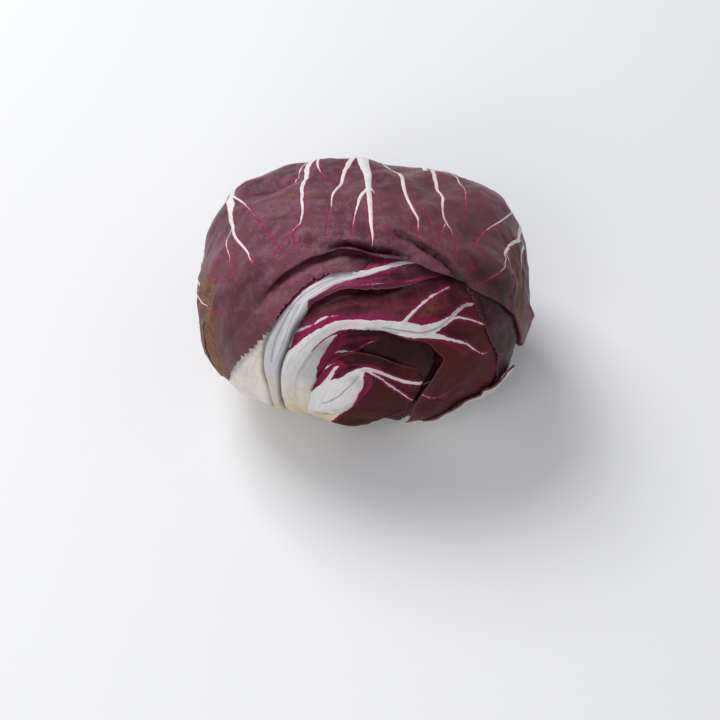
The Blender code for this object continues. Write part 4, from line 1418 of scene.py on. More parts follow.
@dataclass
class HoodLeaf(Leaf):
    """The hood: its rib crosses the middle and its blade comes down at the right."""

    name: str = "hood"
    nodes: tuple[str, ...] = ("hood_leaf",)
    foot: Numbers = (-127, -121, -115)
    foot_depth: float = 1.4
    rows: Rows = (
        ((-128, -36, 2.6), (-125.6, -36, 1.2), (-122, -36, 0.9), (-117, -36, 2.2)),
        ((-125.8, -10, 3.2), (-124.4, -10, 1.2), (-121, -10, 0.7), (-117, -10, 1.8)),
        ((-125.1, 8, 3.4), (-123.7, 8, 1.2), (-120.4, 8, 0.7), (-116.6, 8, 1.9)),
        ((-124.3, 17, 3.4), (-122.7, 17, 1.3), (-118.8, 16.5, 0.7), (-115, 15.5, 2)),
        ((-123.4, 27, 3.6), (-119.8, 26, 1.6), (-115.3, 24, 0.8), (-111.5, 21.5, 2.6)),
        ((-122, 37, 4.4), (-118.5, 34.5, 2.4), (-112.5, 30.5, 0.8), (-108.5, 27.5, 2.6)),
        ((-117, 46, 6), (-114, 41.5, 3), (-106.5, 36, 0.8), (-103.5, 32, 2.6)),
        ((-105, 53, 7), (-103.5, 47.5, 2.3), (-101, 43, 1.3), (-98.5, 38.8, 0.75), (-96, 35.3, 1.6)),
        ((-92, 54, 7), (-92, 47.2, 2.1), (-91, 43, 1.3), (-90, 39.2, 0.8), (-89.5, 35.8, 1.4)),
        ((-79, 54, 7), (-79, 47.2, 1.9), (-79, 43, 1.2), (-79, 37.6, 0.7), (-79, 34.2, 1.3)),
        ((-68, 53.5, 7), (-68, 48.4, 1.8), (-69, 43, 1.1), (-70, 35, 0.7), (-70.5, 30.2, 1.2)),
        ((-56, 53.5, 7), (-56, 48.8, 1.8), (-58.5, 42, 1), (-61.5, 33, 0.7), (-63, 26.9, 1.3)),
        ((-44, 51, 6.5), (-46, 47.2, 2), (-50, 40, 1.3), (-55, 30, 0.9), (-58.5, 22.3, 1.4),
         (-59.2, 20.8, 1.6)),
        ((-34, 46, 5.5), (-37, 43, 3.4), (-41, 37, 2.5), (-46, 27, 1.6), (-53, 17.5, 1.2),
         (-57.2, 16.4, 1.4)),
        ((-25, 35, 4.8), (-31, 30, 4.1), (-37, 22, 3), (-44, 13, 1.8), (-54, 8, 1.2), (-60.8, 8.5, 1.4)),
        ((-20, 20, 4.8), (-28, 13, 4.3), (-36, 4, 3), (-45, -3, 1.8), (-56, -4, 1.2), (-64.3, -1.5, 1.5)),
        ((-20, 0, 4.3), (-28, -8, 3.2), (-38, -15, 1.9), (-48, -18, 1.5), (-58, -17, 1.3), (-68, -14, 1.5)),
        ((-22, -20, 3.8), (-32, -28, 2.7), (-45, -36, 1.7), (-54, -38, 1.5), (-62, -37, 1.5),
         (-69.5, -33, 1.8)),
    )
    stations: Numbers = (
        0,
        28,
        52,
        66,
        74,
        84,
        93,
        101,
        110,
        118,
        127,
        135,
        144,
        155,
        164,
        174,
        184,
        195,
        208,
    )
    across: int = 130
    along: tuple[int, ...] = (14, 16, 12, 8, 12, 12, 12, 12, 12, 12, 12, 12, 14, 12, 14, 14, 14, 12)
    finish: LeafFinish = HOOD_FINISH
    thickness: float = 0.5
    waves: tuple[Wave, ...] = ((20, 0.22), (7, 0.08))
    seed: int = 41
    veins: tuple[Vein, ...] = (
        Vein(((-120, -68), (-121, -18), (-120.5, 1), (-119.5, 14), (-117, 22.5), (-113.5, 28.8), (-108, 34),
             (-103, 36.8), (-97, 38), (-90, 38), (-80, 37.2), (-75, 35.8), (-70, 34.2), (-65, 32.2),
             (-60, 31.6), (-55, 31.8), (-50, 32.3), (-46, 33), (-42, 33), (-36.5, 30.8)), (14, 12, 8, 5.5,
             3.3, 2.4, 2, 1.9, 1.85, 1.9, 2, 2.4, 2.9, 2.6, 2.1, 1.45, 0.95, 0.68, 0.6, 0.5), 0, 0.12),
        Vein(((-73, 36), (-69.9, 37.8), (-63.7, 40.7), (-57.4, 42.2), (-51.2, 42.8), (-46.1, 42.6),
             (-42.8, 42.1)), (1.2, 0.6, 0.44, 0.36, 0.3, 0.22, 0.02), 1, 0.3),
        Vein(((-51, 32.5), (-47.1, 31.2), (-43.5, 28.7), (-37.7, 22.3)), (0.7, 0.42, 0.36, 0.32), 1, 0.3),
        Vein(((-63.5, 31), (-58.5, 28.4), (-52.8, 24.4), (-47, 19.1), (-43.7, 13.6), (-40.5, 9.5),
             (-37.5, 8.5), (-34.5, 10)), (1.8, 1, 0.5, 0.26, 0.08, 0.03, -0.05, -0.4), 2, 0.3),
        Vein(((-123.5, 24), (-122.3, 29), (-119.1, 31.8), (-114.3, 35.5), (-110.4, 39), (-104.3, 40.9)),
             (1.5, 0.7, 0.28, 0.22, 0.4, -0.2), 1, 0.2),
        Vein(((-67.5, -2), (-64.5, -5.5), (-61, -8.5), (-57.5, -8.5), (-53, -6.5)), (-0.3, 0, 0.06, 0, -0.5),
             1, 0.2),
    )
    folds: tuple[Fold, ...] = (
        Fold(((-80, 36.4), (-72, 34.2), (-64, 31.6), (-57, 31), (-50, 32.4), (-44, 33.4)), 0.4, -0.6),
        Fold(((-123, -20), (-122, 0), (-121, 12), (-117.5, 21), (-112, 28)), 2.2, 0.5),
        Fold(((-118, 20), (-114.5, 27), (-108.5, 33), (-100, 37), (-88, 37.8)), 0.5, -0.35),
        Fold(((-116, 38), (-106, 43), (-94, 46), (-80, 46.5)), 1.2, 0.7),
        Fold(((-112, 42), (-104, 46), (-92, 48)), 0.8, -0.6),
        Fold(((-104, 43.5), (-92, 43), (-80, 42.5)), 1.8, -0.45),
        Fold(((-98, 45.5), (-88, 45.8), (-76, 46)), 1.2, 0.4),
        Fold(((-57, 37), (-50, 37.5), (-44, 38)), 2.5, 0.5),
        Fold(((-66, 45), (-58, 46), (-50, 45)), 1.6, -0.4),
        Fold(((-50, 22), (-47, 10), (-50, -4)), 4, 0.5),
        Fold(((-57, 16), (-53, 4), (-54, -12)), 3, -0.5),
        Fold(((-60, 4), (-58, -8), (-61, -22)), 2.2, 0.35),
    )
    patches: tuple[Patch, ...] = (
        Patch(((-122, -42), (-121, -24)), 11, 0.9, BEIGE),
        Patch(((-120, -12), (-119, 0)), 8, 0.45, BEIGE),
        Patch(((-119.5, 28), (-115, 33.5), (-109, 37.5), (-102, 40)), 1.6, 0.95, BLUSH),
        Patch(((-125.4, -20), (-124.9, -8), (-124.2, 8), (-123.4, 17), (-122.4, 26), (-121, 33)), 0.7, 0.95,
              PAINTED_SHADE),
        Patch(((-117, 8), (-115, 15.5), (-111.5, 22), (-106, 29.5)), 0.9, 0.45, PAINTED_SHADE),
        Patch(((-80, 36.4), (-72, 34.2), (-64, 31.6), (-57, 31), (-50, 32.4), (-44, 33.4)), 0.28, 0.7,
              PAINTED_SHADE),
        Patch(((-60, 38), (-54, 40)), 2.4, 0.3, BRONZE),
        Patch(((-123.5, 22), (-121.5, 29), (-117.5, 33.5)), 1, 0.45, PAINTED_SHADE),
        Patch(((-45, 38), (-41, 33)), 2.6, 0.6, PAINTED_SHADE),
        Patch(((-50, 46), (-42, 41)), 3, 0.5, PAINTED_SHADE),
        Patch(((-52, 27), (-46, 22)), 1.8, 0.5, PAINTED_SHADE),
        Patch(((-96, 41), (-84, 41.5), (-76, 40)), 1.1, 0.75, BLUSH),
        Patch(((-70, 36.4), (-64, 35), (-57, 33.8)), 1.5, 0.9, BLUSH),
        Patch(((-66, 38), (-60, 37)), 1.6, 0.5, BLUSH),
        Patch(((-60, 28), (-55, 24), (-48, 15)), 1.6, 0.5, BLUSH),
        Patch(((-47, 31), (-42, 27)), 1.6, 0.4, BLUSH),
        Patch(((-58, 24), (-52, 12), (-52, -10), (-55, -28)), 16, 1, BROWN_AND_PAINTED_LIGHT),
        Patch(((-40, 20), (-44, 6), (-42, -10)), 8, 0.8, BROWN_AND_PAINTED_LIGHT),
        Patch(((-62, 8), (-60, -4), (-64, -20)), 2.5, 0.5, PAINTED_SHADE),
        Patch(((-119, 39), (-112, 44.5), (-103, 48), (-91.5, 50), (-76.4, 49.6), (-62, 48.6)), 2.9, 0.95,
              PAINTED_SHADE),
        Patch(((-76, 48.5), (-62, 48), (-48, 47), (-40, 44)), 2, 0.8, PAINTED_SHADE),
        Patch(((-46, 48), (-38, 44), (-35, 40)), 2.6, 0.75, PAINTED_SHADE),
        Patch(((-88, 36), (-82, 35), (-76, 33.5)), 0.9, 0.6, PAINTED_SHADE),
    )
    teeth: tuple[Teeth, ...] = (Teeth(Edge.SIDE, 1.4, 1.9, 13, 0.38, 0.62),)


@dataclass
class HollowLeaf(Leaf):
    """The hood's inner blade, which lines the hollow under it, in a darker finish that paints the hollow's
    shade.
    """

    name: str = "hood_hollow"
    nodes: tuple[str, ...] = ()
    rows: Rows = (
        ((-124, -40, 3.8), (-123.5, -10, 3.6), (-122.3, 8, 3.3), (-119.5, 18, 3.2), (-115, 28, 3.2),
         (-108, 36.5, 3.6), (-99, 42, 3.8)),
        ((-119.8, -40, 2), (-119.8, -10, 1.3), (-118.6, 8, 1.2), (-116, 17.5, 1.3), (-111, 26.3, 1.6),
         (-105, 33, 2.2), (-97, 39.5, 3.4)),
        ((-115, -40, 1.8), (-115, -10, 1.1), (-114, 6, 1.2), (-112, 15, 1.6), (-108.3, 23, 2),
         (-102.3, 30.5, 2.4), (-94.5, 38, 3.4)),
        ((-110, -40, 2.4), (-110, -10, 2.4), (-109, 5, 2.5), (-107, 14, 2.5), (-104, 21.5, 2.5),
         (-98.5, 29.5, 2.5), (-90.5, 37, 3.2)),
        ((-104, -40, 2.9), (-104, -8, 3.2), (-103.5, 5, 3.2), (-101, 14, 3.2), (-98, 21, 2.8),
         (-93, 28.5, 2.6), (-86, 37, 3.4)),
        ((-95, -38, 3.2), (-95, -8, 3.5), (-95, 5, 3.8), (-93, 14, 4.2), (-90, 21, 4), (-86, 28.5, 3.6),
         (-80, 36, 3.6)),
        ((-85, -36, 3.4), (-85, -8, 3.6), (-85, 6, 3.9), (-83, 14, 4.2), (-80, 20, 4), (-77, 26, 3.8),
         (-73, 33.5, 3.6)),
        ((-76, -34, 3.4), (-75, -10, 3.4), (-73, 5, 3.4), (-71, 13, 3.2), (-69.5, 19, 3.1), (-68.5, 24, 3.2),
         (-67, 30.5, 3.6)),
        ((-72, -33.6, 3.2), (-69.2, -15, 3), (-64.8, 2.5, 3), (-62, 11.9, 2.9), (-60.8, 18, 2.9),
         (-61.5, 23.5, 3.2), (-62.5, 28.5, 3.8)),
        ((-69, -33, 7.5), (-66, -15, 7.5), (-61.3, 2.5, 7.5), (-58.5, 12, 7.2), (-57, 18, 6.8),
         (-58, 24, 5.5), (-58.5, 28, 5)),
    )
    stations: Numbers = (0, 4, 8, 13, 19, 27, 35, 42, 46, 51)
    across: int = 110
    along: tuple[int, ...] = (8, 9, 12, 12, 16, 16, 14, 9, 9)
    finish: LeafFinish = HOLLOW_SHADED_FINISH
    waves: tuple[Wave, ...] = ((12, 0.25), (5, 0.08))
    seed: int = 51
    grain_across: bool = True
    veins: tuple[Vein, ...] = (
        Vein(((-118.5, -44), (-118, -10), (-116.5, 4), (-115, 12), (-113.2, 19), (-109.6, 26), (-105, 32)),
             (9, 7.2, 5.6, 4.2, 3.3, 2.2, 1), 0, 0),
        Vein(((-93, 26.5), (-91, 28), (-88, 29.2), (-84, 30)), (-0.2, 0, 0.1, -0.35), 1, 0.2),
        Vein(((-103, 24.5), (-101.2, 25.5), (-99, 26), (-96.7, 25.6), (-94, 26)), (-0.1, 0.25, 0.3, 0.1,
             -0.4), 2, 0.2),
    )
    folds: tuple[Fold, ...] = (
        Fold(((-107, 16), (-103.5, 22), (-99, 26.5), (-93, 27.5), (-87, 29.5)), 1, 0.8),
        Fold(((-103, 28), (-98, 31), (-90, 32.5), (-82, 32)), 1.2, -0.6),
        Fold(((-101, 17), (-96, 21), (-90, 22)), 1.3, -0.5),
        Fold(((-88, 25), (-80, 24), (-72, 19)), 2.4, 0.6),
        Fold(((-92, 12), (-84, 14), (-76, 10)), 2.4, 0.4),
    )
    patches: tuple[Patch, ...] = (
        Patch(((-108, 13), (-108.5, 19), (-106, 25), (-102, 30)), 2.4, 0.9, BLUSH),
        Patch(((-104, 20), (-100, 24), (-95, 26)), 1.4, 0.7, BLUSH),
        Patch(((-106, 22), (-102, 28), (-94, 31), (-84, 31)), 1, 0.7, BLUSH),
        Patch(((-100, 33), (-92, 34)), 0.9, 0.4, BLUSH),
        Patch(((-92, 20), (-84, 22), (-76, 22)), 7, 0.5, PAINTED_SHADE),
        Patch(((-104, 26), (-100, 29)), 3.2, 0.75, PAINTED_SHADE),
        Patch(((-90, 32), (-78, 31), (-68, 28)), 2.5, 0.6, PAINTED_SHADE),
        Patch(((-63, 24), (-61, 12), (-64, 0), (-68, -14)), 1.6, 0.9, PAINTED_SHADE),
        Patch(((-113, -44), (-113, -24)), 12, 0.85, BEIGE),
        Patch(((-114, -12), (-113, 0)), 8, 0.4, BEIGE),
        Patch(((-113, 12), (-110.5, 18), (-107, 25)), 5, 0.36, PAINTED_SHADE),
        Patch(((-119.5, 0), (-118, 10), (-114.5, 19.5), (-109, 28)), 0.9, 0.4, PAINTED_SHADE),
        Patch(((-75, 22), (-66, 18), (-68, 5)), 8, 0.6, BROWN_AND_PAINTED_LIGHT),
    )


@dataclass
class FrontLeaf(Leaf):
    """The front leaf: a white lobe whose rib turns right under the hood."""

    name: str = "front"
    nodes: tuple[str, ...] = ("front_leaf",)
    foot: Numbers = (-114, -102, -90)
    foot_depth: float = 0.9
    rows: Rows = (
        ((-116, -36, 1), (-106, -40, 0.5), (-95, -42, 0.7), (-84, -42, 1.2)),
        ((-116, -22, 1), (-109, -21, 0.3), (-100, -26, 0.4), (-88, -36, 1)),
        ((-113.5, -8, 1), (-107, -8, 0.3), (-98, -16, 0.3), (-89, -30, 0.9)),
        ((-112, 2, 1.1), (-104, 0, 0.3), (-95, -6, 0.5), (-85, -26, 0.9)),
        ((-108.5, 12, 1.3), (-101, 8, 0.4), (-91, 0, 1), (-81, -22, 1)),
        ((-104.5, 20, 2), (-98, 14, 0.6), (-88, 8, 1.5), (-80, -4, 1.6), (-77, -20, 1.2)),
        ((-96, 25, 2.3), (-91, 18.5, 0.8), (-84, 11, 1.6), (-77, -2, 1.8), (-74.5, -19, 1.5)),
        ((-85, 23.5, 2.3), (-82, 15.5, 1), (-78, 9, 1.8), (-73, -3, 2.2), (-72, -18, 2)),
        ((-75, 18, 2.6), (-73, 10, 1.3), (-71, 4, 1.9), (-70, -6, 2.2), (-71.5, -24, 2.2)),
        ((-67.5, 13.5, 3), (-66.8, 6.8, 1.6), (-66, 1.5, 2.2), (-67.4, -7, 2.6), (-71, -26, 2.6)),
        ((-62.5, 10, 7), (-61.8, 5, 7), (-62, 0, 7.5), (-64, -8, 7.5), (-68, -26, 7.5)),
    )
    stations: Numbers = (0, 30, 40, 50, 58, 66, 74, 82, 90, 98, 103, 110)
    across: int = 110
    along: tuple[int, ...] = (14, 12, 14, 12, 14, 14, 14, 14, 14, 10, 8)
    finish: LeafFinish = FRONT_FINISH
    thickness: float = 0.5
    waves: tuple[Wave, ...] = ((13, 0.15), (5, 0.05))
    seed: int = 61
    veins: tuple[Vein, ...] = (
        Vein(((-115, -50), (-111.8, -25), (-108, -14), (-104.5, -5), (-101, 2), (-96.3, 8.5), (-93.5, 14),
             (-90.5, 17.3), (-86, 16.8), (-81.5, 13.8), (-77, 10.6), (-71.5, 7), (-66, 4.5)), (5, 5.2, 7.4,
             8.6, 7.6, 5.6, 2.9, 1.2, 0.8, 0.75, 0.85, 0.95, 0.85), 0, 0.12),
        Vein(((-88.5, 16.5), (-86.2, 14.3), (-81.9, 9.2), (-77.6, 3.3), (-73.2, -2.8), (-69.4, -8.7)), (0.5,
             0.36, 0.34, 0.3, 0.22, 0.05), 1, 0.3),
        Vein(((-107.5, 4), (-104.5, 12), (-102.3, 17), (-100.5, 19)), (1.4, 0.75, 0.4, -0.1), 2, 0.1),
        Vein(((-107, 15.5), (-106, 17), (-103, 19.5)), (0, 0.2, -0.1), 1, 0.1),
    )
    folds: tuple[Fold, ...] = (
        Fold(((-109, -10), (-107.4, -7.8), (-103.8, -3.2), (-98.7, 2.9), (-95.2, 8.3), (-92.7, 13.3)), 0.5,
             -0.55),
        Fold(((-106, -8), (-99, 3)), 6, 0.9),
        Fold(((-104, -23), (-98, -27), (-89, -27)), 3.6, 0.9),
        Fold(((-109, -16), (-105, -20.5), (-99, -16), (-94, -10)), 1.2, -0.6),
        Fold(((-108, -35), (-99, -37.5), (-88, -37)), 1.1, -0.9),
        Fold(((-102, 19), (-98, 20.5), (-93, 22), (-85, 21.5), (-78, 17)), 0.7, 0.45),
        Fold(((-92, 12), (-89, 6), (-91, -2)), 1.2, -0.5),
        Fold(((-85, 13), (-78, 6), (-73, 0)), 1.6, -0.4),
    )
    patches: tuple[Patch, ...] = (
        Patch(((-115, -45), (-112, -28)), 8, 0.95, BEIGE),
        Patch(((-109, -19),), 4, 0.5, BEIGE),
        Patch(((-107.4, -7.8), (-103.8, -3.2), (-98.7, 2.9), (-95.2, 8.3), (-92.7, 13.3)), 0.28, 0.75,
              PAINTED_SHADE),
        Patch(((-107.5, -29), (-104, -32), (-97, -33), (-88, -33)), 1, 1, BLUSH),
        Patch(((-107.5, -33), (-106, -25), (-104.5, -19.5)), 0.5, 0.9, BLUSH),
        Patch(((-108, 8), (-105, 14.5), (-101, 19)), 1.8, 0.9, BLUSH),
        Patch(((-100, 15), (-97, 19), (-91, 20), (-84, 18)), 0.7, 0.6, BLUSH),
        Patch(((-90.5, 17.3), (-86, 16.8), (-81.5, 13.8), (-77, 10.6), (-71.5, 7), (-66, 4.5)), 0.8, 0.3,
              PAINTED_SHADE),
        Patch(((-94, 12), (-91.5, 5), (-93, -3), (-97, -9), (-102, -13)), 1.8, 0.28, PAINTED_SHADE),
        Patch(((-111, -19.5), (-105, -19), (-99.5, -15.5)), 0.5, 0.8, PAINTED_SHADE),
        Patch(((-111, -26), (-106, -24)), 3, 0.9, BEIGE),
        Patch(((-89, 13.5), (-87.5, 8), (-89.5, 2), (-92.5, -3), (-96.5, -9), (-102, -14)), 1.1, 0.9,
              BLUSH),
        Patch(((-64.5, 10), (-64, 2), (-66, -8)), 1.4, 0.9, PAINTED_SHADE),
        Patch(((-84, 4), (-80, -8), (-88, -20), (-98, -28)), 9, 0.85, BROWN_AND_PAINTED_LIGHT),
        Patch(((-83, 10), (-78, 5), (-74, 0)), 2.4, 0.45, PAINTED_SHADE),
    )


@dataclass
class LowerFrontLeaf(Leaf):
    """The leaf that closes the underside in front."""

    name: str = "under_front"
    nodes: tuple[str, ...] = ("lower_front_leaf",)
    foot: Numbers = (-88, -77, -66)
    foot_depth: float = 2.9
    rows: Rows = (
        ((-96, -44, 3), (-82, -42, 2.9), (-64, -42, 3.2)),
        ((-96, -22, 3.8), (-84, -18, 4.6), (-66, -18, 5.4)),
    )
    stations: Numbers = (0, 24, 45)
    across: int = 40
    along: tuple[int, ...] = (20, 18)
    finish: LeafFinish = PETIOLE_FINISH
    seed: int = 71
    veins: tuple[Vein, ...] = (Vein(((-78, -70), (-78, -10)), (40, 40), 0, 0),)
    patches: tuple[Patch, ...] = (
        Patch(((-80, -50),), 22, 0.9, BEIGE),
        Patch(((-67, -58), (-67, -20)), 7, 1, PAINTED_SHADE),
    )


@dataclass
class LowerLeftLeaf(Leaf):
    """The leaf that closes the underside at the back left."""

    name: str = "under_left"
    nodes: tuple[str, ...] = ("lower_left_leaf",)
    foot: Numbers = (190, 163, 136)
    foot_depth: float = 1.9
    rows: Rows = (
        ((-173, -42, 1.9), (163, -40, 1.9), (135, -36, 1.9)),
        ((-175, -12, 1.9), (166, -5, 1.9), (140, -5, 1.9)),
        ((-176, 18, 1.9), (168, 24, 1.9), (146, 24, 1.9)),
    )
    stations: Numbers = (0, 26, 55, 82)
    across: int = 50
    along: tuple[int, ...] = (18, 20, 18)
    finish: LeafFinish = PETIOLE_FINISH
    seed: int = 72
    veins: tuple[Vein, ...] = (Vein(((163, -70), (163, 30)), (40, 40), 0, 0),)
    patches: tuple[Patch, ...] = (Patch(((163, -50),), 24, 0.9, BEIGE),)


@dataclass
class TornStub(Leaf):
    """The stub of a leaf that was torn off, with a ragged edge."""

    name: str = "torn_stub"
    nodes: tuple[str, ...] = ("trimmed_leaf_stub",)
    foot: Numbers = (-58, -44, -30)
    foot_depth: float = 0.2
    rows: Rows = (
        ((-62, -45, 0.2), (-46, -44, 0), (-24, -40, 0)),
        ((-62, -31, 0.3), (-56, -26, 0), (-50, -22, -0.2), (-45, -21, -0.4), (-40, -20, -0.4),
         (-38.5, -14.5, -0.5), (-35, -15.5, -0.5), (-31, -12, -0.5), (-27, -11, -0.5), (-24, -13, -0.4)),
    )
    stations: Numbers = (0, 24, 44)
    across: int = 90
    along: tuple[int, ...] = (16, 34)
    finish: LeafFinish = PETIOLE_FINISH
    thickness: float = 0.6
    waves: tuple[Wave, ...] = ((9, 0.2), (3, 0.08))
    seed: int = 73
    veins: tuple[Vein, ...] = (Vein(((-48, -72), (-46, -12)), (30, 30), 0, 0, (-1e9, 43.3)),)
    patches: tuple[Patch, ...] = (
        Patch(((-45, -55),), 18, 0.8, BEIGE),
        Patch(((-46, -21), (-39, -17), (-34, -15), (-27, -12)), 2.2, 0.6, BLUSH),
        Patch(((-27, -10), (-23, -13)), 1.6, 1, BLUSH),
        Patch(((-50, -25), (-40, -21), (-30, -17)), 4, 0.25, PAINTED_SHADE),
    )
    teeth: tuple[Teeth, ...] = (Teeth(Edge.TIP, 1.4, 2.2, 17), Teeth(Edge.SIDE, 0.8, 2, 18))


@dataclass
class Nest:
    """The inner leaves: each is a little smaller than the last and turned by the golden angle."""

    head: HeadShape
    count: int = 11
    first_bearing: float = -100.0
    golden_angle: float = 137.5
    first_scale: float = 0.835
    shrinkage: float = 0.062
    spread: float = 104.0
    half_foot: float = 42.0

    def leaves(self) -> tuple[Leaf, ...]:
        """Describe the nest's leaves, the outermost first."""
        return tuple(self.leaf(number) for number in range(self.count))

    def leaf(self, number: int) -> Leaf:
        """Describe one leaf.

        Args:
            number: How many leaves lie round it.

        Returns:
            The leaf.
        """
        bearing = self.first_bearing + number * self.golden_angle
        scale = self.first_scale - number * self.shrinkage
        rows = []
        for rise, reach, drop in ((-42, 0.72, 0), (-8, 1.0, 4), (28, 1.0, 6)):
            turns = np.linspace(-1, 1, 5)
            rows.append(
                tuple((bearing - turn * reach * self.spread, rise - drop * turn**2, 0.0) for turn in turns)
            )
        crown = ((118, 46), (104, 66), (0, 84), (-104, 66), (-118, 46))
        brim = ((140, 50), (158, 58), (180, 62), (202, 58), (220, 50))
        rows += [tuple((bearing + turn, rise, 0.0) for turn, rise in row) for row in (crown, brim)]
        rib = tuple((bearing, rise) for rise in (-68, -30, 10, 50, 80))
        branches = tuple(
            Vein(
                ((bearing, low), (bearing + way * 35, low + 22), (bearing + way * 70, low + 34)),
                (0.9, 0.5, 0.1), 1 + (way > 0), 0.2,
            )
            for way in (-1, 1)
            for low in (-35, 5)
        )
        return Leaf(
            head=self.head,
            name=f"nest_{number + 1:02d}",
            nodes=(f"inner_leaf_{number + 1:02d}",),
            rows=tuple(rows),
            stations=(0, 24, 52, 80, 112, 128),
            across=max(18, round(56 * scale)),
            along=tuple(max(4, round(count * scale)) for count in (12, 14, 14, 16, 8)),
            finish=NEST_SHADED_FINISH,
            foot=tuple(np.linspace(bearing + self.half_foot, bearing - self.half_foot, 5)),
            thickness=0.7,
            scale=scale,
            waves=((20.0, 0.3), (7.0, 0.12)),
            seed=100 + number,
            veins=(Vein(rib, (6, 4, 2.4, 1.2, 0.4), 0, 0.3), *branches),
            patches=(Patch(((bearing, -60),), 20, 0.8, BEIGE),),
        )


# ---- the heart and the stem


@dataclass(frozen=True)
class StemFinish:
    """The cut stem's flesh: cream, browned where the knife passed, with fibres down its sides."""

    name: str = "stem_skin"
    cream: Colour = (0.62, 0.54, 0.38)
    cut: Colour = (0.36, 0.24, 0.12)
    fibre: Colour = (0.5, 0.42, 0.26)
    rough: float = 0.6

    def material(self) -> bpy.types.Material:
        """Make the material.

        Returns:
            The material.
        """
        material, shades, shader = new_material(self.name)
        place = shades.vector("MULTIPLY", shades.add("ShaderNodeTexCoord").outputs["Object"], TO_MILLIMETRES)
        height = shades.split(place)[2]
        spots = shades.noise(place, 0.5, 4, 0.6)
        fibres = shades.noise(shades.vector("MULTIPLY", place, (1, 1, 0.1)), 1.1, 3, 0.6)
        browned = shades.span(spots, 0.3, 0.6, 0.45, 1.0)
        browned = shades.math("MULTIPLY", shades.span(height, 1.6, 0.2), browned)
        colour = shades.blend(shades.span(fibres, 0.4, 0.7, 0.0, 0.5), self.cream, self.fibre)
        colour = shades.blend(browned, colour, self.cut)
        shades.link(colour, shader, "Base Color")
        rough = shades.span(spots, 0.2, 0.8, self.rough - 0.1, self.rough + 0.1)
        shades.link(rough, shader, "Roughness")
        bump = shades.add("ShaderNodeBump", {"Distance": MM, "Height": shades.math("MULTIPLY", fibres, 0.25)})
        shades.link(bump.outputs["Normal"], shader, "Normal")
        return material


@dataclass
class Stem:
    """The stem: a cone cut flat where the head was harvested, ringed by the scars of pulled leaves."""

    head: HeadShape
    sides: int = 64
    rings: int = 14
    scar_depth: float = 0.35
    scars_per_metre: float = 900.0
    pith_radius: float = 5.0
    pith_hollow: float = 0.35

    def build(self) -> Piece:
        """Model the stem from a cone.

        Returns:
            The stem's object.
        """
        head = self.head
        bpy.ops.object.select_all(action="DESELECT")
        bpy.ops.mesh.primitive_cone_add(
            vertices=self.sides,
            radius1=head.stem_foot_radius * MM,
            radius2=head.stem_top_radius * MM,
            depth=head.stem_height * MM,
            location=(0, 0, head.stem_height / 2 * MM),
        )
        piece = bpy.context.object
        piece.name = piece.data.name = "stem"
        bpy.ops.object.transform_apply(location=True, rotation=True, scale=True)
        bpy.ops.object.mode_set(mode="EDIT")
        bpy.ops.mesh.select_mode(type="FACE")
        self.select_faces(piece, lambda normal, centre: normal.z < -0.9)
        for step in (0.8, head.stem_foot_radius - 0.8 - self.pith_radius, 1.2, 1.8):
            bpy.ops.mesh.inset(thickness=step * MM)
        for ring in range(1, self.rings):
            bpy.ops.mesh.select_all(action="SELECT")
            height = head.stem_height * MM * ring / self.rings
            bpy.ops.mesh.bisect(plane_co=(0, 0, height), plane_no=(0, 0, 1))
        bpy.ops.object.mode_set(mode="OBJECT")
        mesh = piece.data
        for vert in mesh.vertices:
            reach = math.hypot(vert.co.x, vert.co.y)
            height = vert.co.z
            if height < 1e-6:
                inner = max(0.0, 1 - reach / (self.pith_radius * MM))
                vert.co.z = self.pith_hollow * MM * min(1.0, inner * 2.5)
            scar = 0.5 + 0.5 * math.sin(height * self.scars_per_metre + 3 * math.atan2(vert.co.y, vert.co.x))
            if 1e-4 < height < (head.stem_height - 1) * MM:
                narrowed = 1 - self.scar_depth * MM * scar / max(reach, 1e-6)
                vert.co.x *= narrowed
                vert.co.y *= narrowed
        select_only(piece)
        bpy.ops.object.shade_smooth_by_angle(angle=math.radians(50))
        return piece

    def select_faces(self, piece: Piece, wanted: Callable[[Vector, Vector], bool]) -> None:
        """Select the faces that a test picks.

        Args:
            piece: The stem's object, in edit mode.
            wanted: Takes a normal and a centre, and says whether to pick.
        """
        bpy.ops.mesh.select_all(action="DESELECT")
        bpy.ops.object.mode_set(mode="OBJECT")
        for face in piece.data.polygons:
            face.select = bool(wanted(face.normal, face.center))
        bpy.ops.object.mode_set(mode="EDIT")

    def dress(self, piece: Piece) -> None:
        """Give the stem its finish and its place on the frame."""
        piece.data.materials.append(StemFinish().material())
        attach(piece, BODY)
        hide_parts("stem_core")
        LOG.info("%s: %d faces", piece.name, len(piece.data.polygons))


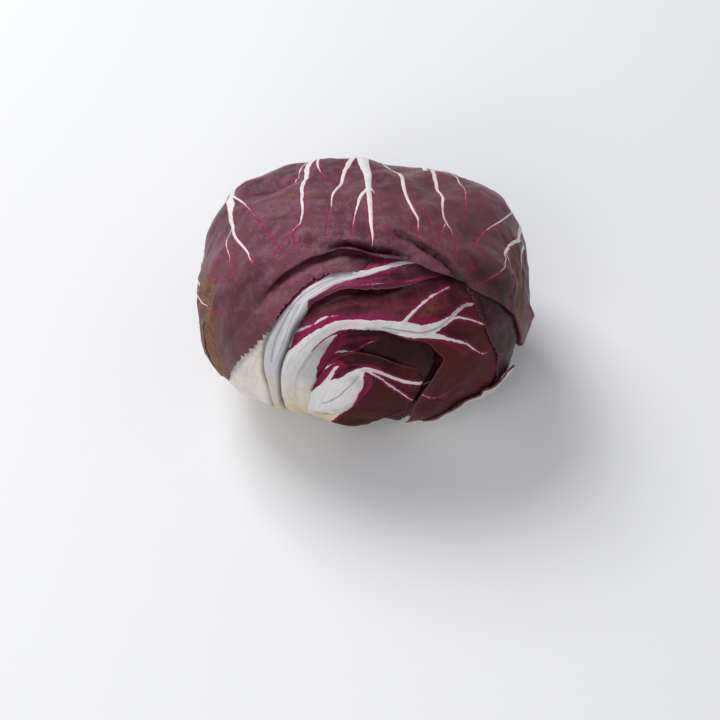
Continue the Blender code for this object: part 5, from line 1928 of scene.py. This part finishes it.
@dataclass
class Heart:
    """The bud in the middle of the nest: a small copy of the head, with wrapped furrows."""

    head: HeadShape
    scale: float = 0.12
    segments: int = 48
    furrow: float = 0.35

    def build(self) -> Piece:
        """Model the bud from a ball.

        Returns:
            The bud's object.
        """
        bpy.ops.object.select_all(action="DESELECT")
        bpy.ops.mesh.primitive_uv_sphere_add(segments=self.segments, ring_count=self.segments // 2, radius=1)
        piece = bpy.context.object
        piece.name = piece.data.name = "heart"
        mesh = piece.data
        way = unit(read_points(mesh))
        radius = self.head.outline(way) * self.scale
        turn = np.arctan2(way[:, 1], way[:, 0]) * 3 + way[:, 2] * 5
        radius += self.furrow * np.sin(turn) * (1 - way[:, 2] ** 2)
        points = way * radius[:, None] + self.head.middle
        write_points(mesh, points)
        plain = ((FAR,) * 3, (-FAR,) * 3, (0, 0, 0), (0, 0, FAR))
        for label, value in zip(ATTRIBUTES, plain):
            write_vectors(mesh, label, np.tile(value, (len(points), 1)))
        write_vectors(mesh, ATTRIBUTES[-1], points)
        select_only(piece)
        bpy.ops.object.shade_smooth()
        return piece

    def dress(self, piece: Piece) -> None:
        """Give the bud its finish and its place on the frame."""
        piece.data.materials.append(bpy.data.materials[NEST_SHADED_FINISH.name])
        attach(piece, BODY)
        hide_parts("heart_bud")
        LOG.info("%s: %d faces", piece.name, len(piece.data.polygons))


# ---- the studio


@dataclass
class Studio:
    """A pale floor, soft light from above and behind, and the camera."""

    floor_size: float = 6.0
    floor_colour: Colour = (0.82, 0.83, 0.86)
    floor_cloud: Colour = (0.7, 0.7, 0.74)
    sky_colour: Colour = (0.93, 0.95, 1.0)
    sky_strength: float = 0.38
    elevation: float = 52.5
    distance: float = 0.80
    aim_height: float = 0.0482
    lens: float = 106.38
    shift: tuple[float, float] = (-0.00625, -0.1014)

    def floor(self) -> None:
        """Lay the floor."""
        bpy.ops.object.select_all(action="DESELECT")
        bpy.ops.mesh.primitive_plane_add(size=self.floor_size)
        piece = bpy.context.object
        piece.name = "floor"
        material, shades, shader = new_material("floor_paint")
        place = shades.add("ShaderNodeTexCoord").outputs["Object"]
        cloud = shades.noise(place, 6.0, 3, 0.5)
        tone = shades.blend(shades.span(cloud, 0.3, 0.7, 0.0, 0.04), self.floor_colour, self.floor_cloud)
        shades.link(tone, shader, "Base Color")
        shader.inputs["Roughness"].default_value = 0.85
        shader.inputs["Specular IOR Level"].default_value = 0.2
        piece.data.materials.append(material)

    def lamp(self, name: str, place: Place, size: float, power: float, colour: Colour) -> None:
        """Hang a soft square light, aimed at the head.

        Args:
            name: The light's name.
            place: Where it hangs, in metres.
            size: Its side.
            power: Its power in watts.
            colour: Its colour.
        """
        data = bpy.data.lights.new(name, "AREA")
        data.shape = "SQUARE"
        data.size = size
        data.energy = power
        data.color = colour
        light = bpy.data.objects.new(name, data)
        light.location = place
        aim = Vector((0, 0, self.aim_height)) - Vector(place)
        light.rotation_euler = aim.to_track_quat("-Z", "Y").to_euler()
        bpy.context.scene.collection.objects.link(light)

    def lights(self) -> None:
        """Light the head from above and behind, with a weak fill in front."""
        self.lamp("window", (-0.5, 0.5, 1.0), 0.6, 10.0, (1.0, 0.99, 0.97))
        self.lamp("fill", (-0.35, -0.8, 0.75), 0.8, 4.6, (1.0, 0.97, 0.94))
        world = bpy.data.worlds.new("sky")
        bpy.context.scene.world = world
        world.use_nodes = True
        sky = world.node_tree.nodes["Background"]
        sky.inputs["Color"].default_value = (*self.sky_colour, 1)
        sky.inputs["Strength"].default_value = self.sky_strength

    def camera(self) -> None:
        """Stand the camera at the head's front, looking down."""
        data = bpy.data.cameras.new("camera")
        data.sensor_width = 36
        data.lens = self.lens
        data.shift_x, data.shift_y = self.shift
        data.clip_start, data.clip_end = 0.05, 20
        camera = bpy.data.objects.new("camera", data)
        lift = math.radians(self.elevation)
        back, up = self.distance * math.cos(lift), self.distance * math.sin(lift)
        camera.location = (0, -back, self.aim_height + up)
        camera.rotation_euler = (math.radians(90 - self.elevation), 0, 0)
        bpy.context.scene.collection.objects.link(camera)
        bpy.context.scene.camera = camera
        bpy.context.scene.view_settings.view_transform = "Standard"
        bpy.context.scene.view_settings.look = "None"


def main() -> None:
    """Build the head in order and set it in the studio."""
    logging.basicConfig(level=logging.INFO, format="%(message)s")
    head = HeadShape()
    skin = leaf_skin_group(vein_distance_group())
    kinds = (
        WrapperLeaf, RightLeaf, LeftLeaf, LongRibLeaf, HoodLeaf, HollowLeaf, FrontLeaf,
        LowerFrontLeaf, LowerLeftLeaf, TornStub,
    )
    for leaf in (*(kind(head) for kind in kinds), *Nest(head).leaves()):
        leaf.dress(leaf.build(), skin)
    heart = Heart(head)
    heart.dress(heart.build())
    stem = Stem(head)
    stem.dress(stem.build())
    studio = Studio()
    studio.floor()
    studio.lights()
    studio.camera()


if __name__ == "__main__":
    main()
